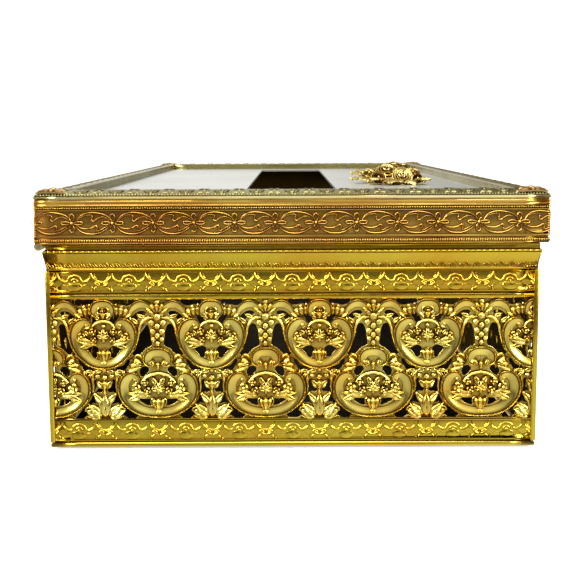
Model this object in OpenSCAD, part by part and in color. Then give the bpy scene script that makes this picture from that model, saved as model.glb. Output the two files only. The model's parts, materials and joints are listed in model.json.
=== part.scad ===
// Gilt filigree casket with a hinged lid, made to cover a packet of tissues.
// Millimetres, +Z up. The origin is the centre of the underside, the width lies along X and the length
// along Y, and the hinge runs down the left (-X) long side.

/* [Body] */
// Width of the body across its two long walls
body_w = 135; // [110:1:170]
// Length of the body across its two end walls
body_l = 255; // [200:1:320]
// Height of the top edge of the walls above the table
wall_h = 50.5; // [40:0.5:75]
// Height of the top edge of the lower border strip
skirt_h = 8.6; // [6:0.2:12]
// Height of the upper border strip
frieze_h = 8; // [5:0.5:11]
// Thickness of the border strips
strip_t = 1; // [0.6:0.1:1.6]
// Thickness of the pierced sheet behind the strips
sheet_t = 0.8; // [0.5:0.1:1.2]
// Gap between the table and the bottom edge of the walls
wall_lift = 0.5; // [0.2:0.1:0.7]
// Nominal length of one filigree repeat
repeat_l = 30; // [24:1:40]

/* [Floor] */
// Thickness of the felt pad
felt_t = 0.8; // [0.8:0.1:2]
// Distance that the felt stays inside the edge of the floor plate
felt_inset = 1.5; // [0.5:0.5:5]
// Thickness of the metal floor plate
plate_t = 1; // [0.6:0.1:2]
// Thickness of the velvet lining on the floor
lining_t = 1.2; // [0.8:0.1:2]
// Gap round the edge of the lining
lining_gap = 0.3; // [0.1:0.1:1]

/* [Rim] */
// Height of the rim moulding above the walls
rim_h = 7.4; // [6.5:0.1:10]
// Distance that the rim's bead stands out from the walls
rim_proud = 0.9; // [0.6:0.1:1.1]
// Thickness of the beaded edging on the vertical corners
edging_t = 0.6; // [0.4:0.1:0.8]
// Width of each leg of the corner edging
edging_leg = 1.8; // [1.2:0.1:3]

/* [Lid] */
// Distance that the lid stands out past the body on each side
lid_overhang = 2.5; // [2.3:0.1:3]
// Height of the lid band
band_h = 13; // [10:0.5:18]
// Thickness of the lid band
band_t = 1; // [0.7:0.1:1.2]
// Gap between the closed lid and the rim
seam_gap = 0.2; // [0.1:0.05:0.3]
// Thickness of the flange that turns in at the foot of the lid band
flange_t = 0.8; // [0.6:0.1:1.2]
// Width of the raised frame on top of the lid
rail_w = 8; // [6.5:0.5:12]
// Height of the raised frame's crown above the lid band
rail_crown = 1.5; // [1:0.1:2.5]
// Depth that the raised frame reaches down inside the lid band
rail_drop = 1.3; // [1:0.1:2]
// Side of the ornament on each top corner
cap_side = 8; // [5:0.5:9]
// Height of the corner ornaments above the crown
cap_rise = 0.8; // [0.4:0.1:1.5]

/* [Top panel] */
// Thickness of the satin panel
panel_t = 0.8; // [0.6:0.1:1.2]
// Width that the panel is tucked under the raised frame
panel_tuck = 3; // [1:0.5:4]
// Width of the slot that the tissues come out of
slot_w = 29.5; // [20:0.5:40]
// Length of the slot
slot_l = 214; // [120:1:214]
// Length of the clips that hold the panel up
clip_l = 8; // [5:1:14]
// Thickness of the clips
clip_t = 0.6; // [0.4:0.1:1]

/* [Rose spray] */
// Distance from the lid's centre line to the middle of the spray
spray_x = 38.4; // [30:0.2:45]
// Distance from the lid's centre to the middle of the spray, towards the front
spray_front = 28; // [0:1:60]
// Length of the spray
spray_l = 54; // [40:1:60]
// Thickness of the leaves
leaf_t = 1.4; // [1:0.1:2.5]
// Radius of the largest rose
rose_r = 5.4; // [4:0.1:6.5]
// Radius of the rivets that hold the spray
rivet_r = 0.8; // [0.6:0.1:1.2]

/* [Hinge] */
// Outer radius of the hinge knuckles
knuckle_r = 1.2; // [1:0.05:1.3]
// Radius of the hinge pin
pin_r = 0.55; // [0.45:0.05:0.7]
// Thickness of the hinge leaves
hinge_leaf_t = 0.4; // [0.3:0.05:0.5]
// Number of knuckles, base and lid together
knuckle_count = 21; // [11:2:31]
// Gap between two neighbouring knuckles
knuckle_gap = 0.25; // [0.15:0.05:0.5]
// Radial clearance between the pin and the lid's knuckles
pin_clear = 0.05; // [0.03:0.01:0.09]
// Gap between each end of the hinge and the inner face of the end wall
hinge_end = 0.4; // [0.3:0.1:20]

/* [Hidden] */
$fn = 48;

wall_t = strip_t + sheet_t;            // border strip and pierced sheet together
inner_w = body_w - 2 * wall_t;
inner_l = body_l - 2 * wall_t;
floor_z = felt_t + plate_t;            // top of the floor plate
frieze_z = wall_h - frieze_h;          // foot of the upper border strip
rim_top = wall_h + rim_h;
lid_z = rim_top + seam_gap;            // foot of the lid band
lid_w = body_w + 2 * lid_overhang;
lid_l = body_l + 2 * lid_overhang;
band_top = lid_z + band_h;
panel_top = band_top - rail_drop;      // the panel lies against the underside of the raised frame
panel_w = lid_w - 2 * (rail_w - panel_tuck);
panel_l = lid_l - 2 * (rail_w - panel_tuck);
spray_z = panel_top + leaf_t;          // the blooms stand on the leaves

hinge_l = inner_l - 2 * hinge_end;
knuckle_l = hinge_l / knuckle_count;
leaf_gap = 0.1;                        // gap between the two closed hinge leaves
knuckle_room = 0.6;                    // gap between the knuckles and the rim's bead
hinge_drop = 0.9;                      // depth of the hinge's axis below the top of the rim
hinge_x = -(body_w / 2 + rim_proud + knuckle_room + knuckle_r);
hinge_z = rim_top - hinge_drop;
base_leaf_top = hinge_z - leaf_gap / 2;
lid_leaf_foot = hinge_z + leaf_gap / 2;
leaf_in = -inner_w / 2;                // inner edge of both leaves
swing = 0.3;                           // room left round the knuckles
foot_bead_r = 0.65;                    // bead along the foot of the walls
fillet_proud = 0.05;                   // distance that the strips' fillets stand out from their faces
plate_x = hinge_x + knuckle_r + swing; // where a leaf begins beside the other leaf's knuckles

// ---- Helpers ----

// The four sides are numbered 0 right, 1 back, 2 left and 3 front.
function across(side, w, l) = side % 2 == 0 ? w : l;
function along(side, w, l) = side % 2 == 0 ? l : w;

// Points of a smooth S-shaped or round curve between two heights, worked out by a sine rule
function cove(u0, u1, z0, z1, steps = 8) =
    [for (i = [0:steps]) [u0 + (u1 - u0) * (1 - cos(90 * i / steps)), z0 + (z1 - z0) * i / steps]];

// A moulding whose section is the child, drawn with X outwards from the wall's face and Y upwards.
// It runs along one side of a w by l rectangle and is mitred at both ends.
module moulding(side, w, l, deep, proud) {
    half = across(side, w, l) / 2;
    length = along(side, w, l);
    rotate([0, 0, 90 * side]) intersection() {
        translate([half, 0, 0]) rotate([90, 0, 0])
            linear_extrude(length + 4 * proud + 2, center = true) children();
        linear_extrude(3 * (wall_h + band_h)) polygon([
            [half - deep, -(length / 2 - deep)], [half + proud, -(length / 2 + proud)],
            [half + proud, length / 2 + proud], [half - deep, length / 2 - deep]
        ]);
    }
}

// ---- Floor ----

module square_at(x, y, w, h) {
    translate([x, y]) square([w, h]);
}

module slab(w, l, z0, t) {
    translate([-w / 2, -l / 2, z0]) cube([w, l, t]);
}

module felt_pad() color("firebrick")
    slab(inner_w - 2 * felt_inset, inner_l - 2 * felt_inset, 0, felt_t);

module base_plate() color("goldenrod")
    slab(inner_w, inner_l, felt_t, plate_t);

module floor_lining() color("black")
    slab(inner_w - 2 * lining_gap, inner_l - 2 * lining_gap, floor_z, lining_t);

// ---- Walls ----

// Plain foot bead under a flat border, with a fillet along its top edge
module skirt_section() {
    fillet_r = 0.3;
    foot_proud = 0.35;                 // distance that the foot bead stands out from the walls
    translate([-strip_t, wall_lift]) square([strip_t - 0.2, skirt_h - wall_lift]);
    translate([-strip_t, wall_lift]) square([strip_t + foot_proud - foot_bead_r, 2 * foot_bead_r]);
    translate([foot_proud - foot_bead_r, wall_lift + foot_bead_r]) circle(foot_bead_r);
    translate([fillet_proud - fillet_r, skirt_h - fillet_r]) circle(fillet_r);
}

module skirt(side) color("goldenrod")
    moulding(side, body_w, body_l, strip_t, 1) skirt_section();

// Flat border strip with a fillet along its foot
module frieze_section() {
    fillet_r = 0.35;
    translate([-strip_t, frieze_z]) square([strip_t - 0.1, frieze_h]);
    translate([fillet_proud - fillet_r, frieze_z + fillet_r]) circle(fillet_r);
}

module frieze(side) color("goldenrod")
    moulding(side, body_w, body_l, strip_t, 1) frieze_section();

// The openings of one repeat, about an upper medallion on the centre line and half of each neighbour
module repeat_openings(pitch, z0, h) {
    for (m = [-1, 1]) {
        translate([m * 0.155 * pitch, z0 + 0.53 * h]) circle(0.055 * pitch);     // beside the upper vase
        translate([m * 0.21 * pitch, z0 + 0.95 * h]) circle(0.03 * pitch);       // beside the crest
        translate([m * 0.09 * pitch, z0 + 0.84 * h]) circle(0.04 * pitch);       // under the crest
        translate([m * 0.335 * pitch, z0 + 0.89 * h]) circle(0.04 * pitch);      // beside the palmette
        translate([m * 0.345 * pitch, z0 + 0.12 * h]) circle(0.05 * pitch);      // beside the lower vase
        translate([m * 0.345 * pitch, z0 + 0.40 * h]) circle(0.04 * pitch);      // beside the lower crest
        translate([m * 0.12 * pitch, z0 + 0.25 * h]) circle(0.05 * pitch);       // beside the leaf stem
        translate([m * 0.24 * pitch, z0 + 0.055 * h]) circle(0.036 * pitch);     // at the foot
        polygon([[m * 0.385 * pitch, z0 + 0.76 * h], [m * 0.45 * pitch, z0 + 0.56 * h],
                 [m * 0.36 * pitch, z0 + 0.52 * h]]);                            // beside the pendant
    }
}

// Pierced sheet. The repeats start at a corner with an upper medallion and end there with a lower one.
module filigree(side) color("gold") {
    half = across(side, body_w, body_l) / 2;
    length = along(side, body_w, body_l);
    halves = 2 * floor(length / repeat_l) + 1;
    pitch = 2 * length / halves;
    start = side % 2 == 0 ? -1 : 1;
    zone = frieze_z - skirt_h;
    outer = length / 2 - strip_t;
    rotate([0, 0, 90 * side]) intersection() {
        translate([half - wall_t, 0, 0]) rotate([90, 0, 90]) linear_extrude(sheet_t) difference() {
            translate([-outer, wall_lift]) square([2 * outer, wall_h - wall_lift]);
            intersection() {
                for (i = [0:halves / 2])
                    translate([start * (-length / 2 + i * pitch), 0]) repeat_openings(pitch, skirt_h, zone);
                translate([-outer + 2, skirt_h]) square([2 * outer - 4, zone]);
            }
        }
        linear_extrude(2 * wall_h) polygon([
            [half - wall_t, -(length / 2 - wall_t)], [half - strip_t, -outer],
            [half - strip_t, outer], [half - wall_t, length / 2 - wall_t]
        ]);
    }
}

// Beaded angle over a vertical corner of the body
module edging(sx, sy) color("gold") {
    e = edging_t;
    g = edging_leg;
    c = fillet_proud;
    foot = wall_lift + 2 * foot_bead_r;    // the edging stands on the foot bead
    translate([sx * body_w / 2, sy * body_l / 2, foot]) linear_extrude(wall_h - foot) polygon([
        [sx * e, sy * e], [sx * e, -sy * g], [c * sx, -sy * g],
        [c * sx, c * sy], [-sx * g, c * sy], [-sx * g, sy * e]
    ]);
}

// ---- Rim ----

// Fillet, hollow cove, bead, groove and rounded lip, from the walls up to the lid
module rim_section() {
    fillet_r = 0.4;
    fillet_h = 0.9;                    // height of the fillet at the foot
    foot = wall_h + fillet_h;
    bead_r = 0.45;
    bead_drop = 2.2;                   // depth of the bead below the top of the rim
    bead_z = rim_top - bead_drop;
    lip_r = 0.35;
    lip_proud = 0.4;
    polygon(concat(
        [[-wall_t, wall_h], [-0.1, wall_h], [-0.1, foot]],
        cove(0, rim_proud - 0.2, foot, bead_z - bead_r),
        [[rim_proud - bead_r, bead_z], [0.1, bead_z + bead_r], [0.1, rim_top - 2 * lip_r],
         [lip_proud - lip_r, rim_top], [-wall_t, rim_top]]
    ));
    translate([fillet_r / 2 - fillet_r, wall_h + fillet_h / 2]) circle(fillet_r);
    translate([rim_proud - bead_r, bead_z]) circle(bead_r);
    translate([lip_proud - lip_r, rim_top - lip_r]) circle(lip_r);
}

// The left rim is let down along the hinge, so that the two leaves lie on it under the lid
module rim(side) color("goldenrod") difference() {
    moulding(side, body_w, body_l, wall_t, rim_proud + 0.5) rim_section();
    if (side == 2)
        translate([-(body_w / 2 + 5), -(hinge_l / 2 + swing), base_leaf_top - hinge_leaf_t])
            cube([5 + wall_t + 1, hinge_l + 2 * swing, rim_h]);
}

// ---- Hinge ----

// The knuckles of one leaf. Odd is 0 for the base and 1 for the lid.
module knuckles(odd, z_plate, bore_r) difference() {
    union() {
        for (i = [odd:2:knuckle_count - 1]) {
            y0 = -hinge_l / 2 + i * knuckle_l + knuckle_gap / 2;
            translate([hinge_x, y0 + knuckle_l - knuckle_gap, hinge_z]) rotate([90, 0, 0])
                cylinder(r = knuckle_r, h = knuckle_l - knuckle_gap);
            translate([hinge_x, y0, z_plate])
                cube([plate_x - hinge_x + 0.2, knuckle_l - knuckle_gap, hinge_leaf_t]);
        }
        translate([plate_x, -hinge_l / 2, z_plate]) cube([leaf_in - plate_x, hinge_l, hinge_leaf_t]);
    }
    translate([hinge_x, hinge_l / 2 + 1, hinge_z]) rotate([90, 0, 0]) cylinder(r = bore_r, h = hinge_l + 2);
}

module hinge_leaf_base() color("darkgoldenrod")
    knuckles(0, base_leaf_top - hinge_leaf_t, pin_r);

module hinge_leaf_lid() color("darkgoldenrod")
    knuckles(1, lid_leaf_foot, pin_r + pin_clear);

module hinge_pin() color("dimgray")
    translate([hinge_x, hinge_l / 2, hinge_z]) rotate([90, 0, 0]) cylinder(r = pin_r, h = hinge_l);

// ---- Lid ----

// Knurled foot, sunk frieze between fillets, hollow and top bead, with a flange turned in at the foot
module band_section() {
    face = -0.35;                      // ground of the sunk frieze
    bead_r = 0.72;
    knurl_r = 0.65;
    fillet_r = 0.3;
    fillet_x = -0.4;                   // middle of the two fillets that border the frieze
    low_fillet = 2.1;                  // height of the lower fillet above the foot of the band
    high_fillet = 9.3;
    plain_foot = 9.9;                  // plain step under the top bead
    plain_h = 1.4;
    ledge = lid_overhang + wall_t;     // the flange reaches in to the inner face of the walls
    intersection() {
        union() {
            square_at(-band_t, lid_z, band_t + face, band_h);
            square_at(-band_t, lid_z, band_t - knurl_r, 2 * knurl_r);
            translate([-knurl_r, lid_z + knurl_r]) circle(knurl_r);
            for (h = [low_fillet, high_fillet]) translate([fillet_x, lid_z + h]) circle(fillet_r);
            square_at(-band_t, lid_z + plain_foot, band_t - 0.2, plain_h);
            translate([-bead_r, band_top - bead_r - 0.1]) circle(bead_r);
        }
        square_at(-band_t, lid_z, 2 * band_t, band_h);
    }
    square_at(-ledge, lid_z, ledge - band_t, flange_t);
}

module lid_band(side) color("goldenrod") {
    ledge = lid_overhang + wall_t;
    difference() {
        moulding(side, lid_w, lid_l, ledge, 0.5) band_section();
        if (side == 2) {
            translate([-lid_w / 2 - 1, -(hinge_l / 2 + swing), lid_z - 1])
                cube([plate_x + lid_w / 2 + 1, hinge_l + 2 * swing, 1 + hinge_z + knuckle_r + 0.25 - lid_z]);
        }
    }
    // Packing strip that carries the lid's hinge leaf
    if (side == 2)
        translate([plate_x, -hinge_l / 2, lid_leaf_foot + hinge_leaf_t])
            cube([leaf_in - plate_x, hinge_l, lid_z - lid_leaf_foot - hinge_leaf_t]);
}

// Crowned section of the raised frame: a step over the lid band, a swelling face and a straight inner edge
module rail_section() {
    steps = 10;
    edge = band_top + 0.2;
    polygon(concat(
        [[-rail_w, panel_top], [-band_t, panel_top], [-band_t, band_top], [-0.25, band_top], [-0.25, edge]],
        [for (i = [0:steps]) let (a = 115 * i / steps)
            [-0.5 - (rail_w - 1) * i / steps, edge + (rail_crown - 0.2) * sin(a)]],
        [[-rail_w, edge + 0.6]]
    ));
}

module lid_rail(side) color("goldenrod")
    moulding(side, lid_w, lid_l, rail_w, 0.5) rail_section();

// Small domed ornament over the mitre of the raised frame
module corner_cap(sx, sy) color("peru") difference() {
    translate([sx * (lid_w / 2 - 0.5 - cap_side / 2), sy * (lid_l / 2 - 0.5 - cap_side / 2), band_top + 0.3])
        union() {
            translate([0, 0, (rail_crown + cap_rise) / 2])
                cube([cap_side, cap_side, rail_crown + cap_rise - 0.9], center = true);
            cylinder(r = cap_side / 3, h = rail_crown + cap_rise - 0.3);
        }
    for (side = [0:3]) moulding(side, lid_w, lid_l, rail_w, 0.5) rail_section();
}

// ---- Top panel ----

module rivet_places() {
    for (d = [-1, 1]) translate([spray_x, -spray_front + d * spray_l / 5, 0]) children();
}

module satin_panel() color("silver") difference() {
    slab(panel_w, panel_l, panel_top - panel_t, panel_t);
    slab(slot_w, slot_l, panel_top - panel_t - 1, panel_t + 2);
    rivet_places() translate([0, 0, panel_top - panel_t - 1]) cylinder(r = rivet_r + 0.1, h = panel_t + 2);
}

// Angle clips soldered inside the lid band, with their feet under the edge of the panel
module clip(side, at) {
    half = across(side, lid_w, lid_l) / 2 - band_t;
    reach = across(side, lid_w - panel_w, lid_l - panel_l) / 2 - band_t + panel_tuck - 1;
    z = panel_top - panel_t;
    rotate([0, 0, 90 * side]) translate([0, at - clip_l / 2, 0]) {
        translate([half - reach, 0, z - clip_t]) cube([reach, clip_l, clip_t]);
        translate([half - clip_t, 0, z - 4]) cube([clip_t, clip_l, 4]);
    }
}

module panel_clips() color("goldenrod") {
    for (side = [0, 2], at = [-0.36, 0, 0.36]) clip(side, at * lid_l);
    for (side = [1, 3], at = [-0.3, 0.3]) clip(side, at * lid_w);
}

// ---- Rose spray ----

// Pointed leaf lying flat, with its stalk at the origin and its tip along +Y
module leaf(length, width) {
    r = (length * length + width * width) / (4 * width);
    linear_extrude(leaf_t) intersection() {
        translate([r - width / 2, length / 2]) circle(r, $fn = 64);
        translate([width / 2 - r, length / 2]) circle(r, $fn = 64);
    }
}

module spray_leaves() color("gold") translate([spray_x, -spray_front, panel_top]) {
    stem_w = 4.8;
    longest = 12.5;                    // longest leaf, in the middle pair
    broad = 7;                         // breadth of every leaf
    tip = 12;                          // length of the single leaf at each end
    pairs = 5;
    translate([-stem_w / 2, -spray_l / 2 + tip / 4, 0]) cube([stem_w, spray_l - tip / 2, leaf_t]);
    for (i = [0:pairs - 1], m = [-1, 1])
        translate([0, -(spray_l - tip) / 2 + i * (spray_l - tip) / (pairs - 1), 0])
            rotate([0, 0, -m * (50 + 6 * i)]) leaf(longest - abs(i - 2), broad);
    translate([0, spray_l / 2 - tip, 0]) leaf(tip, broad);
    translate([0, -spray_l / 2 + tip, 0]) rotate([0, 0, 180]) leaf(tip, broad);
}

// Domed bloom with a stepped crown
module rose(x, y, r, h) color("gold") translate([spray_x + x, -spray_front + y, spray_z])
    rotate_extrude() polygon(concat(
        [[0, 0], [r * 0.8, 0], [r, h * 0.35]],
        [for (i = [0:6]) [r * 0.95 * cos(75 * i / 6), h * (0.45 + 0.5 * sin(90 * i / 6))]],
        [[0, h * 0.95]]
    ));

module rose_front() rose(1.1, -spray_l / 2 + 8, rose_r, 4.4);
module rose_middle() rose(-2.5, 0, rose_r * 0.9, 5.6);
module rose_back() rose(2, spray_l / 2 - 12, rose_r * 0.8, 6.2);

module spray_buds() color("gold")
    for (p = [[7, -9], [-8, -14], [6.5, 5], [-7.5, 10], [-2.5, 20]])
        translate([spray_x + p[0], -spray_front + p[1] * spray_l / 54, spray_z])
            rotate_extrude() polygon([[0, 0], [1.5, 0], [1.9, 1.3], [1.2, 2.6], [0, 3.2]]);

module spray_rivets() color("goldenrod") rivet_places() {
    translate([0, 0, panel_top - panel_t]) cylinder(r = rivet_r, h = panel_t);
    translate([0, 0, panel_top - panel_t - 0.6]) cylinder(r = rivet_r * 2.2, h = 0.6);
}

// ---- Assembly ----

felt_pad();
base_plate();
floor_lining();
skirt(0);  // skirt_right
skirt(1);  // skirt_back
skirt(2);  // skirt_left
skirt(3);  // skirt_front
filigree(0);  // filigree_right
filigree(1);  // filigree_back
filigree(2);  // filigree_left
filigree(3);  // filigree_front
frieze(0);  // frieze_right
frieze(1);  // frieze_back
frieze(2);  // frieze_left
frieze(3);  // frieze_front
rim(0);  // rim_right
rim(1);  // rim_back
rim(2);  // rim_left
rim(3);  // rim_front
edging(1, -1);  // edging_front_right
edging(1, 1);  // edging_back_right
edging(-1, 1);  // edging_back_left
edging(-1, -1);  // edging_front_left
hinge_leaf_base();
hinge_pin();
hinge_leaf_lid();
lid_band(0);  // lid_band_right
lid_band(1);  // lid_band_back
lid_band(2);  // lid_band_left
lid_band(3);  // lid_band_front
lid_rail(0);  // lid_rail_right
lid_rail(1);  // lid_rail_back
lid_rail(2);  // lid_rail_left
lid_rail(3);  // lid_rail_front
corner_cap(1, -1);  // corner_cap_front_right
corner_cap(1, 1);  // corner_cap_back_right
corner_cap(-1, 1);  // corner_cap_back_left
corner_cap(-1, -1);  // corner_cap_front_left
satin_panel();
panel_clips();
spray_leaves();
rose_front();
rose_middle();
rose_back();
spray_buds();
spray_rivets();
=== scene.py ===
# %% [markdown]
# # A gilt filigree casket
# The box is a hinged cover for a packet of tissues. Its walls are stamped and pierced brass under gold
# plate, its lid has a raised frame round a satin panel, and a cast rose spray sits beside the slot. The
# CAD frame gives every size and place. This file gives each part its stamped ornament and its finish.

# %% Load the frame
import math
import json

import bmesh
import bpy
from mathutils import Matrix, Vector

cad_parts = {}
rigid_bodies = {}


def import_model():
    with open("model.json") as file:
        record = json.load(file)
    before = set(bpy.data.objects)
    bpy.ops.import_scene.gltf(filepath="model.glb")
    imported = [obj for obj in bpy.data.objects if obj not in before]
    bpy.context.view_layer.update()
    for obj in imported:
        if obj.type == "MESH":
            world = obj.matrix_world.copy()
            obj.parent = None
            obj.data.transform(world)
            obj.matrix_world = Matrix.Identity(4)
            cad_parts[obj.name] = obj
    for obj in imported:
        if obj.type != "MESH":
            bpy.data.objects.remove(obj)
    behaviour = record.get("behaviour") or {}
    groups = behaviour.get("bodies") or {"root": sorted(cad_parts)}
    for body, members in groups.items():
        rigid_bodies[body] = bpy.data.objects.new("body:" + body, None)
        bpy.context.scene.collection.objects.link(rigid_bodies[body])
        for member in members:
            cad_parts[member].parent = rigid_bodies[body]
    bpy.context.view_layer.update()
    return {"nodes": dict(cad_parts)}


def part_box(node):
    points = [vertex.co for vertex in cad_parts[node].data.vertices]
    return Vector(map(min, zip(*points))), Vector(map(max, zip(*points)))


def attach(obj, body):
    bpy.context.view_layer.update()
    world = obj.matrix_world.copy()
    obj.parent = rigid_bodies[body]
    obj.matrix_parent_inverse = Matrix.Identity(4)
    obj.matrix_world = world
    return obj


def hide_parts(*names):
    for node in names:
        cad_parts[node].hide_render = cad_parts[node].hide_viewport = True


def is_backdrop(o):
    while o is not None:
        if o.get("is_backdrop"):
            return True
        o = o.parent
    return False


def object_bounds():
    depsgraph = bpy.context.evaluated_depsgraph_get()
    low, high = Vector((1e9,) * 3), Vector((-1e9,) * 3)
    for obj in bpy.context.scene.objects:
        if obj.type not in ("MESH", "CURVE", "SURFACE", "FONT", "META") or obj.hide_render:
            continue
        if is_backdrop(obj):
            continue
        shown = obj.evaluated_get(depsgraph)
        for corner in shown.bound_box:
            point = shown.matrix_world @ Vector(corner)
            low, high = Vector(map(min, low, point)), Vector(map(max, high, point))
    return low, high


for leftover in list(bpy.data.objects):
    bpy.data.objects.remove(leftover)
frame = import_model()

# %% [markdown]
# Ornament is easier to think of in millimetres, while Blender works in metres. So shapes are written in
# millimetres, and one factor turns them into metres when they take their place. Everything on a wall is
# modelled lying flat: X runs along the wall, Y is the height above the table and Z comes out of the
# metal.

# %% The driving sizes, read from the frame
MM = 0.001


def corner_mm(node, high):
    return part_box(node)[1 if high else 0] / MM


def half_box(piece, proud):
    """Half the width and length over four sides, less what their relief stands proud."""
    right = corner_mm(piece + "_right", True).x - proud
    back = corner_mm(piece + "_back", True).y - proud
    return Vector((round(right, 3), round(back, 3), 0))


FRIEZE_PROUD = 0.05
BODY_HALF = half_box("frieze", FRIEZE_PROUD)
LID_HALF = half_box("lid_band", 0.0)
SHEET_FACE = 1.0
SKIRT_TOP = round(corner_mm("skirt_front", True).z, 3)
FRIEZE_FOOT = round(corner_mm("frieze_front", False).z, 3)
WALL_TOP = round(corner_mm("frieze_front", True).z, 3)
RIM_TOP = round(corner_mm("rim_front", True).z, 3)
LID_FOOT = round(corner_mm("lid_band_front", False).z, 3)
BAND_HIGH = 13.0
BAND_TOP = round(LID_FOOT + BAND_HIGH, 3)
PANEL_TOP = round(corner_mm("satin_panel", True).z, 3)
TURNS = {"front": 0, "right": 90, "back": 180, "left": 270}
print("body half", BODY_HALF, "lid half", LID_HALF, "wall top", WALL_TOP, "lid foot", LID_FOOT)


def half_length(side, half):
    """Half the length of one side of a box with these half sizes."""
    return half.x if side in ("front", "back") else half.y


def half_depth(side, half):
    """Distance from the middle of the box to the face of that side."""
    return half.y if side in ("front", "back") else half.x


# %% [markdown]
# ## Hands
# These helpers are the moves that a person makes again and again: select only this, fix its place into
# its mesh, finish it with a modifier, pick some of its corners, copy it to a new place, and join the
# copies.

# %% Selecting, fixing and finishing
def clear():
    bpy.ops.object.select_all(action="DESELECT")


def only(*pieces):
    clear()
    for piece in pieces:
        piece.select_set(True)
    bpy.context.view_layer.objects.active = pieces[0]
    return pieces[0]


def fix(piece):
    """Writes the object's place, turn and size into its mesh."""
    only(piece)
    bpy.ops.object.transform_apply(location=True, rotation=True, scale=True)
    return piece


def finish_with(piece, kind, **settings):
    """Adds a modifier, sets it and applies it."""
    only(piece)
    modifier = piece.modifiers.new(kind.lower(), kind)
    for key, value in settings.items():
        setattr(modifier, key, value)
    bpy.ops.object.modifier_apply(modifier=modifier.name)
    return piece


def pick(piece, kind, test):
    """Goes into edit mode and selects the VERT, EDGE or FACE items whose centre passes the test."""
    only(piece)
    bpy.ops.object.mode_set(mode="EDIT")
    bpy.ops.mesh.select_mode(type=kind)
    bpy.ops.mesh.select_all(action="DESELECT")
    mesh = bmesh.from_edit_mesh(piece.data)
    items = {"VERT": mesh.verts, "EDGE": mesh.edges, "FACE": mesh.faces}[kind]
    for item in items:
        if kind == "VERT":
            centre = item.co
        elif kind == "EDGE":
            centre = (item.verts[0].co + item.verts[1].co) / 2
        else:
            centre = item.calc_center_median()
        item.select_set(bool(test(centre)))
    mesh.select_flush_mode()
    bmesh.update_edit_mesh(piece.data)


def done():
    bpy.ops.object.mode_set(mode="OBJECT")


# %% Copying and joining
def at(x, y, z):
    """The move to this place."""
    return Matrix.Translation((x, y, z))


def turned(degrees, axis):
    """The turn about an axis, anticlockwise."""
    return Matrix.Rotation(math.radians(degrees), 4, axis)


def stretched(x, y, z):
    """The stretch along each axis."""
    return Matrix.Diagonal((x, y, z, 1))


def placed(template, matrix):
    """A copy of the template with its own mesh, moved by the matrix."""
    piece = template.copy()
    piece.data = template.data.copy()
    piece.data.transform(matrix)
    bpy.context.scene.collection.objects.link(piece)
    return piece


def lay(template, x, y, turn=0.0, wide=1.0, long=1.0, high=1.0, lift=0.0):
    """Lays a copy flat at x, y, turned clockwise by degrees, so that 0 points up the wall."""
    return placed(template, at(x, y, lift) @ turned(-turn, "Z") @ stretched(wide, long, high))


def joined(pieces, name):
    only(*pieces)
    bpy.ops.object.join()
    piece = bpy.context.view_layer.objects.active
    piece.name = name
    piece.data.name = name
    return piece


def put_away(*templates):
    for template in templates:
        bpy.data.objects.remove(template)


def in_steps(piece, count, step):
    """Repeats a piece, each copy moved by one more step."""
    return finish_with(
        piece, "ARRAY", count=count, use_relative_offset=False, use_constant_offset=True,
        constant_offset_displace=step,
    )


def in_row(piece, count, pitch):
    """Repeats a piece along X."""
    return in_steps(piece, count, (pitch, 0.0, 0.0))


def cut_at(piece, x, keep_left):
    """Cuts a piece straight across X and closes the cut."""
    only(piece)
    bpy.ops.object.mode_set(mode="EDIT")
    bpy.ops.mesh.select_all(action="SELECT")
    bpy.ops.mesh.bisect(
        plane_co=(x, 0, 0), plane_no=(1, 0, 0), use_fill=True, clear_outer=keep_left,
        clear_inner=not keep_left,
    )
    done()
    return piece


def stood(piece, side, plane):
    """Stands a piece that was modelled flat in millimetres against one side of the box."""
    place = turned(TURNS[side], "Z") @ at(0, -plane * MM, 0)
    piece.matrix_world = place @ turned(90, "X") @ Matrix.Scale(MM, 4)
    return fix(piece)


def smooth(piece, degrees=40):
    only(piece)
    bpy.ops.object.shade_smooth_by_angle(angle=math.radians(degrees))
    return piece


def outward(piece):
    """Turns every face outwards."""
    only(piece)
    bpy.ops.object.mode_set(mode="EDIT")
    bpy.ops.mesh.select_all(action="SELECT")
    bpy.ops.mesh.normals_make_consistent(inside=False)
    done()
    return piece


TALLY = {}


def triangles(piece):
    return sum(len(face.vertices) - 2 for face in piece.data.polygons)


def settle(piece, finish, body, slot, *nodes):
    """Gives a finished piece its material and its body, and hides the CAD nodes that it stands for.

    Slot is not used.
    """
    piece.data.materials.clear()
    piece.data.materials.append(finish)
    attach(piece, body)
    if nodes:
        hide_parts(*nodes)
    TALLY[piece.name] = triangles(piece)
    return piece


# %% [markdown]
# ## Finishes
# A finish is a small recipe of nodes. Numbers that vary over the surface come out of a node as a Wire,
# and a Wire can be added, multiplied and so on like a number, which adds the Math node for it.

# %% Wires and recipes
class Wire:
    """One output of a node, with arithmetic."""

    def __init__(self, recipe, socket):
        self.recipe = recipe
        self.socket = socket

    def maths(self, operation, first, second):
        return self.recipe.add("ShaderNodeMath", {"operation": operation}, {0: first, 1: second})

    def __add__(self, other):
        return self.maths("ADD", self, other)

    def __radd__(self, other):
        return self.maths("ADD", other, self)

    def __sub__(self, other):
        return self.maths("SUBTRACT", self, other)

    def __rsub__(self, other):
        return self.maths("SUBTRACT", other, self)

    def __mul__(self, other):
        return self.maths("MULTIPLY", self, other)

    def __rmul__(self, other):
        return self.maths("MULTIPLY", other, self)

    def __pow__(self, other):
        return self.maths("POWER", self, other)


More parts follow.
